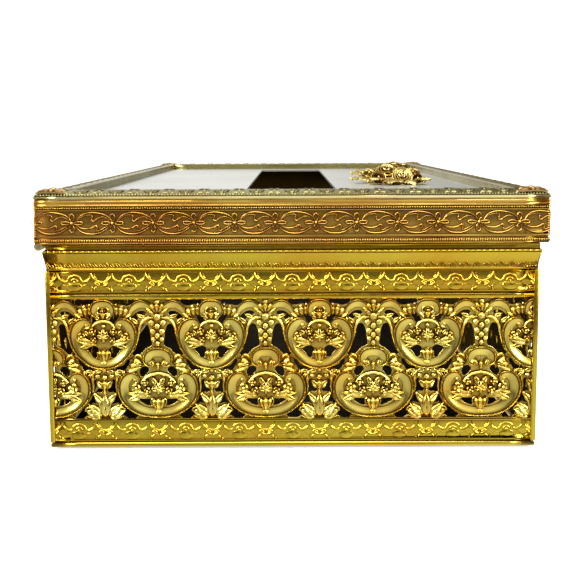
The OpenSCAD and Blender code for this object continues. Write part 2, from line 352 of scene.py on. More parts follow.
class Nodes:
    """A tree of nodes, emptied and filled again."""

    def __init__(self, tree):
        self.tree = tree
        self.tree.nodes.clear()

    def join(self, value, socket):
        if isinstance(value, Wire):
            self.tree.links.new(value.socket, socket)
        else:
            socket.default_value = value

    def add(self, kind, settings, inputs, output=0):
        """Adds a node, sets it, fills its sockets with values or Wires, and returns one output."""
        node = self.tree.nodes.new(kind)
        for key, value in settings.items():
            if key == "stops":
                ramp = node.color_ramp
                while len(ramp.elements) < len(value):
                    ramp.elements.new(0.5)
                for element, (place, grey) in zip(ramp.elements, value):
                    element.position = place
                    element.color = (grey, grey, grey, 1)
            else:
                setattr(node, key, value)
        for key, value in inputs.items():
            self.join(value, node.inputs[key])
        return Wire(self, node.outputs[output])

    def ramp(self, value, *stops):
        return self.add("ShaderNodeValToRGB", {"stops": stops}, {"Fac": value})

    def blend(self, share, first, second):
        """A colour between two others."""
        return self.add(
            "ShaderNodeMix", {"data_type": "RGBA", "clamp_factor": True}, {0: share, 6: first, 7: second}, 2
        )


class Recipe(Nodes):
    """The nodes of one material round a Principled shader."""

    def __init__(self, name, numbers):
        self.material = bpy.data.materials.new(name)
        self.material.use_nodes = True
        super().__init__(self.material.node_tree)
        self.shader = self.tree.nodes.new("ShaderNodeBsdfPrincipled")
        output = self.tree.nodes.new("ShaderNodeOutputMaterial")
        self.tree.links.new(self.shader.outputs[0], output.inputs["Surface"])
        for key, value in numbers.items():
            self.shader.inputs[key].default_value = value
        self.where = self.add("ShaderNodeTexCoord", {}, {}, "Object")

    def noise(self, scale, detail=3.0, rough=0.55, stretch=(1, 1, 1)):
        """Soft random patches, about 1/scale metres across, stretched where the stretch is small."""
        moved = self.add("ShaderNodeMapping", {}, {"Vector": self.where, "Scale": stretch})
        sockets = {"Vector": moved, "Scale": scale, "Detail": detail, "Roughness": rough}
        return self.add("ShaderNodeTexNoise", {}, sockets, "Fac")

    def hollows(self, reach, power, alone):
        """1 on open metal, falling to 0 in hollows narrower than reach.

        Alone says that only the piece itself makes its hollows.
        """
        settings = {"samples": 6, "only_local": alone}
        return self.add("ShaderNodeAmbientOcclusion", settings, {"Distance": reach}, "AO") ** power

    def within(self, half_x, half_y):
        """1 nearer to the middle of the box than these distances, and 0 outside them."""
        nearer = 1.0
        for axis, half in (("X", half_x), ("Y", half_y)):
            along = self.add("ShaderNodeSeparateXYZ", {}, {"Vector": self.where}, axis)
            nearer = along.maths("LESS_THAN", along.maths("ABSOLUTE", along, 0.0), half) * nearer
        return nearer

    def bump(self, height, distance, strength=1.0):
        wire = self.add(
            "ShaderNodeBump", {}, {"Height": height, "Distance": distance, "Strength": strength}, "Normal"
        )
        self.join(wire, self.shader.inputs["Normal"])

    def paint(self, colour, roughness):
        self.join(colour, self.shader.inputs["Base Color"])
        self.join(roughness, self.shader.inputs["Roughness"])
        return self.material


# %% [markdown]
# Gold plate on stamped brass is never even. It is brightest where it is rubbed, and it turns copper where
# the plate is thin, in random patches. The hollows are found with ambient occlusion over a millimetre or
# two and given painted shade: near black deep in, and at their edges a painted warm orange of light
# bounced between the gilt faces, with a little of the brown of old polish. The sheet is also slightly
# dented, so its reflections waver, and a faint wide bump gives that.

# %% Gilt finishes
HOLLOW_REACH = 0.0022
DENT_DEPTH = 0.00012
# Near-black painted shade for the inner faces of the metal, inside the box.
INNER_SHADE = (0.03, 0.018, 0.005, 1)


def gilt(name, bright, copper_and_bounce, hollow_shade, shade_power, shine, alone=True, back=None, warm=(0.3, 0.85)):
    """Gilt of two colours, with painted shade in its hollows.

    Back is the half size of the metal's inner faces, which are rougher and painted a near-black shade. Warm
    is the openness below which the second colour shows most, and the openness at which it is gone; near the
    hollows that second colour is a painted warm bounce light. Hollow shade is the near-black painted deep in
    the hollows, and shade power sharpens it.
    """
    recipe = Recipe(name, {"Metallic": 1.0})
    patches = recipe.noise(38.0, 4.0)
    specks = recipe.noise(900.0, 2.0)
    thin = recipe.ramp(patches, (0.4, 0.0), (0.64, 1.0))
    # Ambient occlusion: 1 on open metal, 0 deep in the hollows, where shade is painted into the colour.
    unshaded = recipe.hollows(HOLLOW_REACH, shade_power, alone)
    # Near the hollows the second colour is painted warm light bounced between the gilt faces.
    bounce_share = recipe.ramp(unshaded, (warm[0], 0.85), (warm[1], 0.0))
    metal = recipe.blend(thin * 0.6 + bounce_share, (*bright, 1), (*copper_and_bounce, 1))
    # Deep in the hollows the colour goes to the painted near-black shade.
    colour = recipe.blend(unshaded, (*hollow_shade, 1), metal)
    dull_and_shaded = 0.0
    # Inside the box the faces are rougher and take a near-black painted shade.
    if back:
        dull_and_shaded = recipe.within(back.x * MM, back.y * MM) * 0.8
        colour = recipe.blend(dull_and_shaded, colour, INNER_SHADE)
    recipe.bump(recipe.noise(170.0, 2.0) + specks * 0.06, DENT_DEPTH)
    rough = shine + patches * 0.1 + specks * 0.05 + (1 - unshaded) * 0.2 + dull_and_shaded * 0.4
    return recipe.paint(colour, rough)


WALL_SKIN = 1.6
BAND_SKIN = 0.9
WALL_BACK = BODY_HALF - Vector((WALL_SKIN, WALL_SKIN, 0))
LID_BACK = LID_HALF - Vector((BAND_SKIN, BAND_SKIN, 0))
# The near-black painted shade deep in the hollows of the gilt.
HOLLOW_SHADE_COLOUR = (0.03, 0.012, 0.002)
# Wall and border gilt are one gold plate. The border copy is darker, painted shade on the borders, the rim
# and the corners, and the wall copy is brighter, painted light on the filigree. The wall gilt's painted
# hollow shade also counts the relief that stands over the sheet.
BORDER_GILT_SHADED = gilt("gilt_brass_shaded", (0.81, 0.61, 0.055), (0.76, 0.40, 0.03), HOLLOW_SHADE_COLOUR, 2.0, 0.12, back=WALL_BACK)
WALL_GILT_LIT = gilt(
    "wall_gilt_lit", (0.98, 0.80, 0.18), (0.92, 0.50, 0.04), HOLLOW_SHADE_COLOUR, 1.35, 0.12, alone=False, back=WALL_BACK,
    warm=(0.15, 0.66),
)
LID_GILT = gilt(
    "lid_gilt", (0.76, 0.49, 0.09), (0.46, 0.19, 0.03), HOLLOW_SHADE_COLOUR, 2.4, 0.14, back=LID_BACK, warm=(0.5, 0.95)
)
# A paler copy of the lid gilt: a painted highlight for the round top bead.
BEAD_GILT_HIGHLIT = gilt("bead_gilt_highlit", (0.96, 0.86, 0.42), (0.86, 0.66, 0.2), HOLLOW_SHADE_COLOUR, 1.4, 0.14, back=LID_BACK)
SPRAY_GILT = gilt("antique_gilt", (0.72, 0.56, 0.18), (0.5, 0.3, 0.09), HOLLOW_SHADE_COLOUR, 1.8, 0.2)
# The rail's darker gilt is painted shade: the dark that its crown reflects.
RAIL_GILT_SHADED = gilt("rail_gilt_shaded", (0.36, 0.32, 0.12), (0.28, 0.21, 0.08), (0.02, 0.012, 0.004), 2.0, 0.2)
COPPER_GILT = gilt("copper_gilt", (0.6, 0.42, 0.15), (0.48, 0.26, 0.1), (0.04, 0.015, 0.005), 2.0, 0.22)
PLAIN_BRASS = gilt("plain_brass", (0.62, 0.44, 0.14), (0.5, 0.32, 0.1), (0.1, 0.06, 0.02), 0.8, 0.34)
print("gilt finishes made")


# %% [markdown]
# The panel is white metal with a satin surface: long fine brushing along the box, and a broad soft
# gloss. The felt and the velvet are short fibres, so each has a fine broken bump and a sheen at the
# edges.

# %% Satin, steel, felt and velvet
def satin_metal(name, light, dark, shine):
    recipe = Recipe(name, {"Metallic": 1.0})
    brushing = recipe.noise(2600.0, 3.0, 0.6, (1, 0.012, 1))
    cloud = recipe.noise(16.0, 3.0)
    colour = recipe.blend(recipe.ramp(cloud, (0.3, 0.0), (0.75, 1.0)), (*light, 1), (*dark, 1))
    recipe.bump(brushing, 0.00001, 0.6)
    return recipe.paint(colour, shine + cloud * 0.08 + brushing * 0.06)


def pile(name, light, dark, fibre, depth, sheen):
    recipe = Recipe(name, {"Sheen Weight": sheen, "Sheen Roughness": 0.4, "Specular IOR Level": 0.15})
    fibres = recipe.noise(fibre, 5.0, 0.7)
    nap = recipe.noise(45.0, 3.0)
    mixed = recipe.ramp(fibres * 0.6 + nap * 0.4, (0.35, 0.0), (0.66, 1.0))
    recipe.bump(fibres, depth)
    return recipe.paint(recipe.blend(mixed, (*dark, 1), (*light, 1)), 0.9 - nap * 0.1)


SATIN = satin_metal("satin_silver", (0.66, 0.66, 0.62), (0.54, 0.54, 0.49), 0.3)
STEEL = satin_metal("steel_pin", (0.42, 0.40, 0.37), (0.3, 0.28, 0.25), 0.3)
FELT = pile("red_felt", (0.30, 0.03, 0.03), (0.14, 0.01, 0.012), 2400.0, 0.00025, 0.3)
VELVET = pile("dark_velvet", (0.026, 0.017, 0.006), (0.006, 0.004, 0.002), 3200.0, 0.0003, 0.02)
print("cloth and satin finishes made")

# %% [markdown]
# ## The shapes that the stamping repeats
# Stamped filigree is built from a few shapes: a bead, a pointed leaf with a rib, a plain petal, a small
# flower, and scrolls of hollowed band. Each small shape is modelled once, one millimetre long or in
# radius, and copied with its own stretch. They are repeated hundreds of times, so each has only a few
# dozen faces.

# %% Bead
def bead_shape(fineness):
    clear()
    bpy.ops.mesh.primitive_ico_sphere_add(subdivisions=fineness, radius=1.0)
    bead = bpy.context.object
    bead.name = "bead_shape"
    only(bead)
    bpy.ops.object.mode_set(mode="EDIT")
    bpy.ops.mesh.select_all(action="SELECT")
    bpy.ops.mesh.bisect(plane_co=(0, 0, -0.25), plane_no=(0, 0, -1), use_fill=True, clear_outer=True)
    done()
    return bead


BEAD = bead_shape(2)
SEED = bead_shape(1)
print("bead", len(BEAD.data.polygons), "faces")


# %% Leaf and petal
def leaf_shape(name, columns, rows, fullness, rib, cup):
    """A leaf from y 0 to 1, widest at fullness, with a rib pressed down along its middle and raised edges."""
    clear()
    bpy.ops.mesh.primitive_grid_add(
        x_subdivisions=columns, y_subdivisions=rows, size=1.0, location=(0, 0.5, 0)
    )
    leaf = fix(bpy.context.object)
    leaf.name = name
    for row in range(rows + 1):
        y = row / rows
        swell = math.sin(math.pi * y ** (math.log(0.5) / math.log(fullness)))
        pick(leaf, "VERT", lambda c, y=y: abs(c.y - y) < 0.01)
        bpy.ops.transform.resize(value=(max(swell, 0.12), 1, 1), center_override=(0, y, 0))
        bpy.ops.transform.translate(value=(0, 0, 0.35 + 0.65 * swell))
        done()
    pick(leaf, "VERT", lambda c: abs(c.x) < 0.01 and 0.05 < c.y < 0.95)
    bpy.ops.transform.translate(value=(0, 0, -rib))
    done()
    pick(leaf, "VERT", lambda c: abs(c.x) > 0.24)
    bpy.ops.transform.translate(value=(0, 0, -cup))
    done()
    pick(leaf, "FACE", lambda c: True)
    bpy.ops.mesh.region_to_loop()
    bpy.ops.mesh.extrude_edges_move(TRANSFORM_OT_translate={"value": (0, 0, -0.6)})
    bpy.ops.transform.resize(value=(1.06, 1.0, 0.02), center_override=(0, 0.5, -0.4))
    bpy.ops.mesh.edge_face_add()
    done()
    outward(leaf)
    return smooth(leaf, 60)


LEAF = leaf_shape("leaf_shape", 4, 4, 0.42, 0.35, 0.1)
PETAL = leaf_shape("petal_shape", 2, 4, 0.62, -0.25, 0.2)
SMALL_PETAL = leaf_shape("small_petal_shape", 2, 3, 0.62, 0.25, -0.1)
print("leaf", len(LEAF.data.polygons), "faces and petal", len(PETAL.data.polygons))


# %% Small flower
def flower_shape():
    """Five petals round a bead, one millimetre in radius."""
    parts = [lay(SMALL_PETAL, 0, 0, 72 * k, 0.72, 1.0, 0.8) for k in range(5)]
    parts.append(lay(SEED, 0, 0, 0, 0.34, 0.34, 0.5, 0.75))
    return smooth(joined(parts, "flower_shape"), 60)


FLOWER = flower_shape()
print("flower", len(FLOWER.data.polygons), "faces")

# %% [markdown]
# A scroll is a band that follows a curve and swells and narrows along it. In Blender that is a Bezier
# curve with a bevel: each point has a radius, and a second small curve is the band's section. The ring
# scrolls have a fine rim and a groove along their outer edge, and from there a dish that falls to their
# inner edge. Thin tendrils are plain round wires. A band runs clockwise, because the rim is on its left
# hand.

# %% Sections of the scrolls
def line_through(points, closed, kind):
    """A curve object through the points, drawn from Blender's own primitive."""
    clear()
    bpy.ops.curve.primitive_bezier_curve_add()
    drawn = bpy.context.object
    drawn.data.splines.clear()
    spline = drawn.data.splines.new(kind)
    if kind == "BEZIER":
        spline.bezier_points.add(len(points) - 1)
        for knot, point in zip(spline.bezier_points, points):
            knot.co = (point[0], point[1], 0)
            knot.radius = point[2] if len(point) > 2 else 1.0
            knot.handle_left_type = knot.handle_right_type = "AUTO"
    else:
        spline.points.add(len(points) - 1)
        for knot, point in zip(spline.points, points):
            knot.co = (point[0], point[1], 0, 1)
    spline.use_cyclic_u = closed
    return drawn


def section(name, points):
    drawn = line_through(points, True, "POLY")
    drawn.data.dimensions = "2D"
    drawn.name = name
    return drawn


CHANNEL = section(
    "channel_section",
    [(-1.0, -0.35), (-1.0, 0.4), (-0.96, 0.75), (-0.85, 0.95), (-0.74, 0.78), (-0.66, 0.3), (-0.58, 0.3),
     (-0.44, 0.52), (-0.2, 0.48), (0.2, 0.28), (0.6, 0.08), (1.0, -0.05), (1.0, -0.35)],
)
ROUND = section("round_section", [(-1.0, -0.5), (-0.75, 0.4), (0.0, 0.85), (0.75, 0.4), (1.0, -0.5)])


def scroll(points, profile, lift=0.55, fine=3):
    """A band along x, y, half-width points, as a mesh lying flat at that height."""
    drawn = line_through(points, False, "BEZIER")
    curve = drawn.data
    curve.dimensions = "3D"
    curve.twist_mode = "Z_UP"
    curve.resolution_u = fine
    curve.bevel_mode = "OBJECT"
    curve.bevel_object = profile
    curve.use_fill_caps = True
    only(drawn)
    bpy.ops.object.convert(target="MESH")
    band = bpy.context.object
    band.data.transform(at(0, 0, lift))
    return smooth(outward(band), 50)


# %% [markdown]
# ## The pierced walls
# One repeat of the wall pattern is 30 mm long: an upper medallion, with half of a lower medallion on
# each side. Each is a horseshoe crest over a ring of scroll band, which holds a vase of flowers. The
# sheet is a flat curve with holes, which Blender fills and thickens, and the relief on its face is a
# second piece. Only the right half of each medallion is drawn; the left half is its mirror.

# %% Tools for the pierced sheet
REPEAT = 30.0
HALF_REPEAT = REPEAT / 2


def mirrored(piece):
    """A copy turned over to the other side of the middle line, with its faces outwards."""
    return outward(placed(piece, stretched(-1, 1, 1)))


def pierced(outline, holes, thick, edge):
    """A flat sheet with smooth holes and softened edges, its outer face at height 0."""
    drawn = line_through(outline, True, "BEZIER")
    for knot in drawn.data.splines[0].bezier_points:
        knot.handle_left_type = knot.handle_right_type = "VECTOR"
    for hole in holes:
        spline = drawn.data.splines.new("BEZIER")
        spline.bezier_points.add(len(hole) - 1)
        for knot, point in zip(spline.bezier_points, hole):
            knot.co = (point[0], point[1], 0)
            knot.handle_left_type = knot.handle_right_type = "AUTO"
        spline.use_cyclic_u = True
    curve = drawn.data
    curve.dimensions = "2D"
    curve.fill_mode = "BOTH"
    curve.resolution_u = 3
    curve.extrude = thick / 2 - edge
    curve.bevel_depth = edge
    curve.offset = -edge
    only(drawn)
    bpy.ops.object.convert(target="MESH")
    sheet = bpy.context.object
    sheet.data.transform(at(0, 0, -thick / 2))
    return sheet


# %% Holes of one repeat, right of each middle line
UPPER_HOLES = [
    [(8.6, 42.3), (5.6, 42.4), (2.7, 42.3), (3.6, 40.7), (4.6, 40.9), (7.3, 40.6)],
    [(1.6, 36.9), (4.3, 38.0), (3.6, 36.3), (3.1, 35.1), (1.6, 36.1)],
    [(4.8, 28.8), (1.7, 28.8), (1.5, 27.8), (2.4, 25.7), (3.8, 27.1)],
    [(7.1, 25.4), (5.2, 23.7), (3.0, 22.4), (4.2, 22.2), (5.0, 21.3), (6.0, 22.6), (6.5, 23.6)],
    [(2.3, 19.8), (1.9, 18.2), (0.7, 16.9), (0.8, 16.1), (2.6, 15.8), (2.5, 14.2), (1.5, 12.9), (3.5, 12.9),
     (4.6, 12.6), (3.9, 14.2), (3.2, 16.8), (3.0, 19.0)],
    [(9.2, 9.2), (7.9, 10.2), (6.3, 12.2), (5.4, 10.9), (5.1, 9.2)],
]
LOWER_HOLES = [
    [(3.1, 38.6), (4.4, 39.1), (6.2, 38.3), (7.3, 36.9), (7.2, 36.2), (5.9, 36.3), (4.6, 37.5), (3.3, 38.0)],
    [(3.3, 35.5), (4.6, 34.5), (5.4, 31.0), (6.3, 28.2), (7.1, 26.6), (5.2, 26.7), (3.4, 28.4), (1.7, 29.4),
     (1.9, 31.2), (2.1, 33.2)],
    [(2.6, 22.6), (3.6, 23.4), (5.2, 22.3), (5.2, 21.2), (4.7, 20.4), (3.0, 21.6)],
    [(5.5, 13.9), (3.6, 14.0), (2.2, 13.9), (2.0, 12.2), (3.4, 12.3), (4.8, 13.1)],
]


def both_sides(holes, centre):
    """The holes on both sides of a middle line, keeping those that fall inside one repeat."""
    found = []
    for hole in holes:
        for way in (1, -1):
            moved = [(centre + way * x, y) for x, y in hole]
            if all(abs(x) < HALF_REPEAT for x, y in moved):
                found.append(moved)
    return found


# %% [markdown]
# The two halves of the pattern follow. A scroll's points are x, y and half-width, drawn from its curled
# end outwards. A leaf or bead is laid by its foot, its turn from upright, and its width and length.

# %% The upper half of the pattern, right of its middle line
def fan(x, y, long, wide, turns):
    """An open bloom seen from the side: petals fanned up from its foot, over a bead."""
    petals = [lay(LEAF, x, y, turn, wide, long * (1 - abs(turn) / 300), 1.3, 0.4) for turn in turns]
    return [*petals, lay(BEAD, x, y + 0.1, 0, 0.8, 0.7, 0.9, 0.8)]


def upper_right():
    return [
        scroll([(-0.5, 41.2, 1.3), (1.6, 40.9, 1.3), (2.45, 39.6, 1.2), (2.2, 38.3, 0.85), (1.2, 37.9, 0.35)],
               CHANNEL),
        scroll([(0.7, 38.4, 0.2), (1.35, 38.6, 0.25), (1.5, 39.5, 0.25), (0.9, 40.2, 0.22)], ROUND, 0.7),
        scroll(
            [(4.7, 34.2, 0.35), (3.8, 34.8, 0.55), (4.0, 35.7, 0.75), (5.1, 36.2, 1.05), (6.7, 35.6, 1.35),
             (7.7, 34.2, 1.45), (8.05, 32.4, 1.5), (7.75, 30.4, 1.5), (6.8, 28.2, 1.42), (5.2, 26.2, 1.35),
             (2.7, 24.4, 1.25), (-0.5, 23.85, 1.2)], CHANNEL),
        lay(BEAD, 4.6, 35.1, 0, 0.55, 0.55, 0.6, 0.4),
        scroll([(3.2, 34.4, 0.3), (2.6, 35.3, 0.42), (1.5, 36.0, 0.5), (-0.3, 36.3, 0.5)], ROUND, 0.8),
        lay(LEAF, 1.0, 36.6, 42, 1.1, 1.7, 1.0, 0.2),
        lay(FLOWER, 2.9, 33.4, 10, 1.15, 1.15, 1.3, 0.6),
        lay(FLOWER, 6.0, 32.0, 25, 1.35, 1.35, 1.3, 0.4),
        lay(FLOWER, 2.6, 31.1, 40, 1.0, 1.0, 1.2, 0.8),
        lay(LEAF, 4.0, 32.2, 40, 1.1, 2.1, 1.0, 0.4),
        lay(LEAF, 4.4, 31.2, 96, 1.2, 1.9, 1.0, 0.4),
        lay(LEAF, 2.0, 29.7, 76, 1.9, 6.0, 1.1, 0.4),
        lay(LEAF, 3.2, 29.8, 108, 1.2, 3.9, 1.1, 0.3),
        lay(PETAL, 0.3, 24.4, 15, 1.1, 4.2, 1.3, 0.2),
        scroll([(0.7, 25.2, 0.22), (1.5, 26.0, 0.25), (1.7, 27.2, 0.25), (1.2, 27.9, 0.22)], ROUND, 0.5),
        lay(PETAL, 3.7, 37.6, 0, 1.5, 2.9, 0.9, 0.0),
        lay(PETAL, 4.6, 37.5, 12, 1.6, 3.0, 1.0, 0.1),
        lay(PETAL, 5.4, 37.3, 30, 1.7, 3.1, 0.9, 0.0),
        lay(PETAL, 5.6, 36.9, 58, 1.4, 2.8, 1.0, 0.0),
        lay(BEAD, 5.2, 40.4, 0, 0.55, 0.55, 0.8, 0.2),
        lay(BEAD, 3.6, 40.9, 0, 0.45, 0.45, 0.7, 0.2),
        lay(BEAD, 1.9, 20.7, 0, 0.8, 0.7, 0.9, 0.3),
        lay(LEAF, 0.6, 22.6, 112, 1.3, 2.6, 1.0, 0.3),
        scroll([(1.6, 22.2, 0.3), (3.0, 21.7, 0.5), (3.4, 19.6, 0.5), (3.3, 17.5, 0.42), (3.7, 15.0, 0.2)],
               ROUND, 0.3),
        lay(LEAF, 3.0, 22.2, 96, 1.1, 2.6, 0.9, 0.1),
        lay(LEAF, 3.4, 21.6, 140, 0.9, 2.4, 0.9, 0.1),
        lay(LEAF, 0.4, 17.2, 38, 1.5, 2.9, 1.1, 0.2),
        lay(LEAF, 0.5, 12.6, 40, 1.7, 4.3, 1.1, 0.2),
        lay(BEAD, 2.9, 15.5, 0, 0.6, 0.55, 0.9, 0.3),
        lay(LEAF, 0.9, 8.9, 44, 2.6, 5.4, 1.2, 0.1),
        lay(LEAF, 1.2, 8.7, 62, 2.6, 5.0, 1.0, 0.2),
        lay(LEAF, 1.0, 8.9, 84, 2.0, 4.3, 1.2, 0.1),
        scroll([(1.6, 9.3, 0.3), (2.4, 10.9, 0.32), (3.9, 11.7, 0.34), (5.3, 11.6, 0.34), (5.6, 10.7, 0.28)],
               ROUND, 0.7),
    ]


def upper_middle():
    parts = [
        lay(FLOWER, 0, 39.2, 0, 0.8, 0.9, 1.0, 0.3),
        lay(PETAL, 0, 36.7, 0, 1.3, 2.4, 1.1, 0.3),
        *fan(0, 31.6, 2.9, 1.15, (-68, -36, 0, 36, 68)),
        lay(BEAD, 0, 34.9, 0, 0.7, 0.6, 0.8, 0.4),
        lay(PETAL, 0, 30.0, 0, 1.2, 2.0, 1.0, 0.5),
        lay(PETAL, 0, 24.0, 0, 1.7, 4.6, 1.4, 0.3),
        lay(BEAD, 0, 24.5, 0, 0.8, 0.7, 0.9, 0.7),
        lay(BEAD, 0, 22.4, 0, 0.8, 0.75, 1.1, 0.3),
        lay(BEAD, 0, 20.3, 0, 0.85, 0.8, 1.1, 0.3),
        lay(PETAL, 0, 16.6, 0, 1.7, 3.0, 1.2, 0.3),
        lay(PETAL, 0, 15.0, 0, 1.0, 2.0, 0.9, 0.3),
        lay(LEAF, 0, 8.8, 0, 2.5, 6.8, 1.2, 0.3),
    ]
    for way in (-1, 1):
        parts.append(lay(LEAF, 0, 8.8, way * 16, 1.5, 6.0, 1.1, 0.2))
    return parts


# %% The lower half of the pattern, right of its middle line
def lower_right():
    return [
        lay(PETAL, 0.2, 38.4, 29, 1.2, 3.5, 1.1, 0.2),
        lay(PETAL, 0.4, 38.2, 58, 1.2, 3.2, 1.1, 0.2),
        scroll([(1.0, 37.8, 0.5), (2.2, 40.2, 0.8), (4.5, 41.2, 1.15), (6.6, 40.2, 0.95), (7.7, 38.5, 0.35)],
               CHANNEL),
        scroll([(7.7, 38.6, 0.3), (7.4, 36.8, 0.4), (6.3, 36.3, 0.4)], ROUND, 0.3),
        lay(LEAF, 5.2, 35.4, 48, 1.2, 2.8, 1.0, 0.1),
        lay(BEAD, 1.6, 35.7, 0, 0.95, 0.95, 1.0, 0.2),
        lay(BEAD, 1.25, 33.3, 0, 0.9, 0.9, 1.0, 0.3),
        lay(BEAD, 1.15, 31.1, 0, 0.8, 0.8, 1.0, 0.3),
        scroll([(1.2, 37.2, 0.4), (3.3, 36.9, 0.6), (4.7, 35.2, 0.5), (5.3, 32.5, 0.42), (6.1, 29.8, 0.4),
                (7.3, 27.3, 0.3)], ROUND, 0.3),
        lay(LEAF, 3.2, 37.2, 70, 1.1, 2.8, 0.9, 0.2),
        scroll([(-0.5, 27.65, 1.3), (1.9, 27.3, 1.3), (2.95, 26.0, 1.25), (2.75, 24.6, 1.0), (1.6, 24.3, 0.7),
                (1.4, 25.2, 0.45)], CHANNEL),
        lay(LEAF, 1.3, 23.4, 20, 1.0, 2.0, 0.9, 0.3),
        scroll([(4.2, 24.6, 0.3), (4.9, 26.2, 0.4), (6.0, 26.5, 0.42), (6.9, 25.6, 0.4), (7.9, 25.2, 0.3)],
               ROUND, 0.2),
        lay(PETAL, 4.1, 24.2, 66, 1.5, 3.4, 1.0, 0.1),
        lay(PETAL, 4.2, 23.8, 90, 1.5, 4.2, 0.9, 0.0),
        lay(PETAL, 4.5, 23.4, 112, 1.6, 4.8, 1.0, 0.1),
        lay(BEAD, 5.6, 24.4, 0, 0.55, 0.5, 0.8, 0.6),
        scroll(
            [(6.7, 18.5, 0.35), (5.8, 19.1, 0.55), (6.0, 20.2, 0.75), (7.1, 20.9, 1.05), (8.6, 20.4, 1.35),
             (9.6, 18.9, 1.45), (9.8, 16.8, 1.5), (9.2, 14.7, 1.5), (7.9, 12.9, 1.42), (5.8, 11.3, 1.32),
             (2.8, 10.3, 1.25), (-0.5, 10.15, 1.22)], CHANNEL),
        lay(BEAD, 6.5, 19.6, 0, 0.55, 0.55, 0.6, 0.4),
        scroll([(4.8, 18.9, 0.3), (4.2, 19.6, 0.42), (2.5, 20.9, 0.5), (-0.3, 21.5, 0.5)], ROUND, 0.8),
        lay(LEAF, 0.6, 18.4, 30, 1.3, 2.4, 1.1, 0.6),
        lay(FLOWER, 6.2, 17.3, 20, 1.6, 1.6, 1.3, 0.4),
        lay(FLOWER, 3.0, 16.6, 50, 1.2, 1.2, 1.3, 0.7),
        lay(FLOWER, 3.7, 18.9, 0, 1.15, 1.15, 1.2, 0.5),
        lay(LEAF, 4.6, 16.4, 118, 1.2, 2.2, 1.0, 0.3),
        lay(LEAF, 2.2, 15.1, 84, 2.0, 6.4, 1.1, 0.3),
        lay(LEAF, 4.4, 15.3, 112, 1.6, 4.6, 1.1, 0.3),
        lay(PETAL, 0.3, 10.6, 18, 1.3, 4.2, 1.3, 0.3),
        scroll([(0.8, 11.6, 0.22), (1.8, 12.5, 0.25), (2.1, 13.7, 0.25), (1.5, 14.5, 0.22)], ROUND, 0.5),
        lay(LEAF, 9.4, 22.4, 160, 0.8, 2.2, 0.9, 0.1),
    ]


def lower_middle():
    return [
        lay(PETAL, 0, 38.4, 0, 1.3, 3.2, 1.2, 0.2),
        lay(BEAD, 0, 41.6, 0, 0.9, 0.8, 1.1, 0.1),
        lay(BEAD, 0, 37.4, 0, 1.15, 1.1, 1.2, 0.2),
        lay(BEAD, 0, 34.8, 0, 0.85, 0.9, 1.0, 0.5),
        lay(BEAD, 0, 32.2, 0, 0.8, 0.85, 1.0, 0.5),
        lay(BEAD, 0, 29.9, 0, 0.75, 0.9, 1.0, 0.3),
        *fan(0, 16.6, 3.2, 1.25, (-72, -40, -12, 16, 44, 74)),
        lay(PETAL, 0, 22.2, 0, 1.2, 2.6, 1.0, 0.4),
        lay(PETAL, 0, 15.2, 0, 1.3, 2.2, 1.0, 0.5),
        lay(PETAL, 0, 10.2, 0, 1.9, 4.6, 1.5, 0.4),
        lay(BEAD, 0, 10.5, 0, 0.8, 0.7, 0.9, 0.8),
    ]


# %% One repeat
def symmetric(right_parts, middle_parts, name, thickness):
    right = joined(right_parts, name + "_right")
    right.data.transform(stretched(1, 1, thickness))
    centre = joined(middle_parts, name + "_middle")
    centre.data.transform(stretched(1, 1, thickness))
    return joined([right, mirrored(right), centre], name)


SHEET_THICK = 0.8
SHEET_EDGE = 0.08
TUCK = 1
RELIEF = 0.86
left, right = -HALF_REPEAT, HALF_REPEAT
foot, head = SKIRT_TOP - TUCK, FRIEZE_FOOT + TUCK
sheet_outline = [(left, foot), (right, foot), (right, head), (left, head)]
sheet_holes = both_sides(UPPER_HOLES, 0) + both_sides(LOWER_HOLES, right) + both_sides(LOWER_HOLES, left)
unit_sheet = smooth(pierced(sheet_outline, sheet_holes, SHEET_THICK, SHEET_EDGE), 30)
upper_unit = symmetric(upper_right(), upper_middle(), "upper_unit", RELIEF)
lower_unit = symmetric(lower_right(), lower_middle(), "lower_unit", RELIEF)
lower_unit.data.transform(at(HALF_REPEAT, 0, 0))
unit_relief = joined([upper_unit, lower_unit], "wall_repeat")
for part in (unit_sheet, unit_relief):
    print("one repeat of the", part.name, "has", triangles(part), "triangles")


# %% [markdown]
# Each wall is a row of repeats, cut straight at the corners. Two walls start with an upper medallion
# and end with a lower one, and the other two the other way round, so the pattern runs on round the
# corners.

# %% The four walls
def filigree(side, unit, layer, *nodes):
    half = half_length(side, BODY_HALF)
    start = -half if side in ("right", "left") else -half + HALF_REPEAT
    first = start - REPEAT
    count = math.ceil((half - first) / REPEAT) + 1
    wall = placed(unit, at(first, 0, 0))
    wall.name = "filigree_" + side + "_" + layer
    in_row(wall, count, REPEAT)
    cut_at(wall, half - SHEET_FACE, True)
    cut_at(wall, -half + SHEET_FACE, False)
    stood(wall, side, half_depth(side, BODY_HALF) - SHEET_FACE)
    return settle(wall, WALL_GILT_LIT, "base", "bright_gilt", *nodes)


for side in TURNS:
    sheet = filigree(side, unit_sheet, "sheet", "filigree_" + side)
    relief = filigree(side, unit_relief, "relief")
    print(sheet.name, TALLY[sheet.name], "and", relief.name, TALLY[relief.name], "triangles")
put_away(unit_sheet, unit_relief)

# %% [markdown]
# ## Mouldings
# The borders, the rim and the lid's frame are long strips of one section, mitred at the corners like a
# picture frame. The section is drawn as points (height, outward), filled, and extruded along the wall
# in steps. The steps let the strip be a little uneven, as thin rolled metal is.

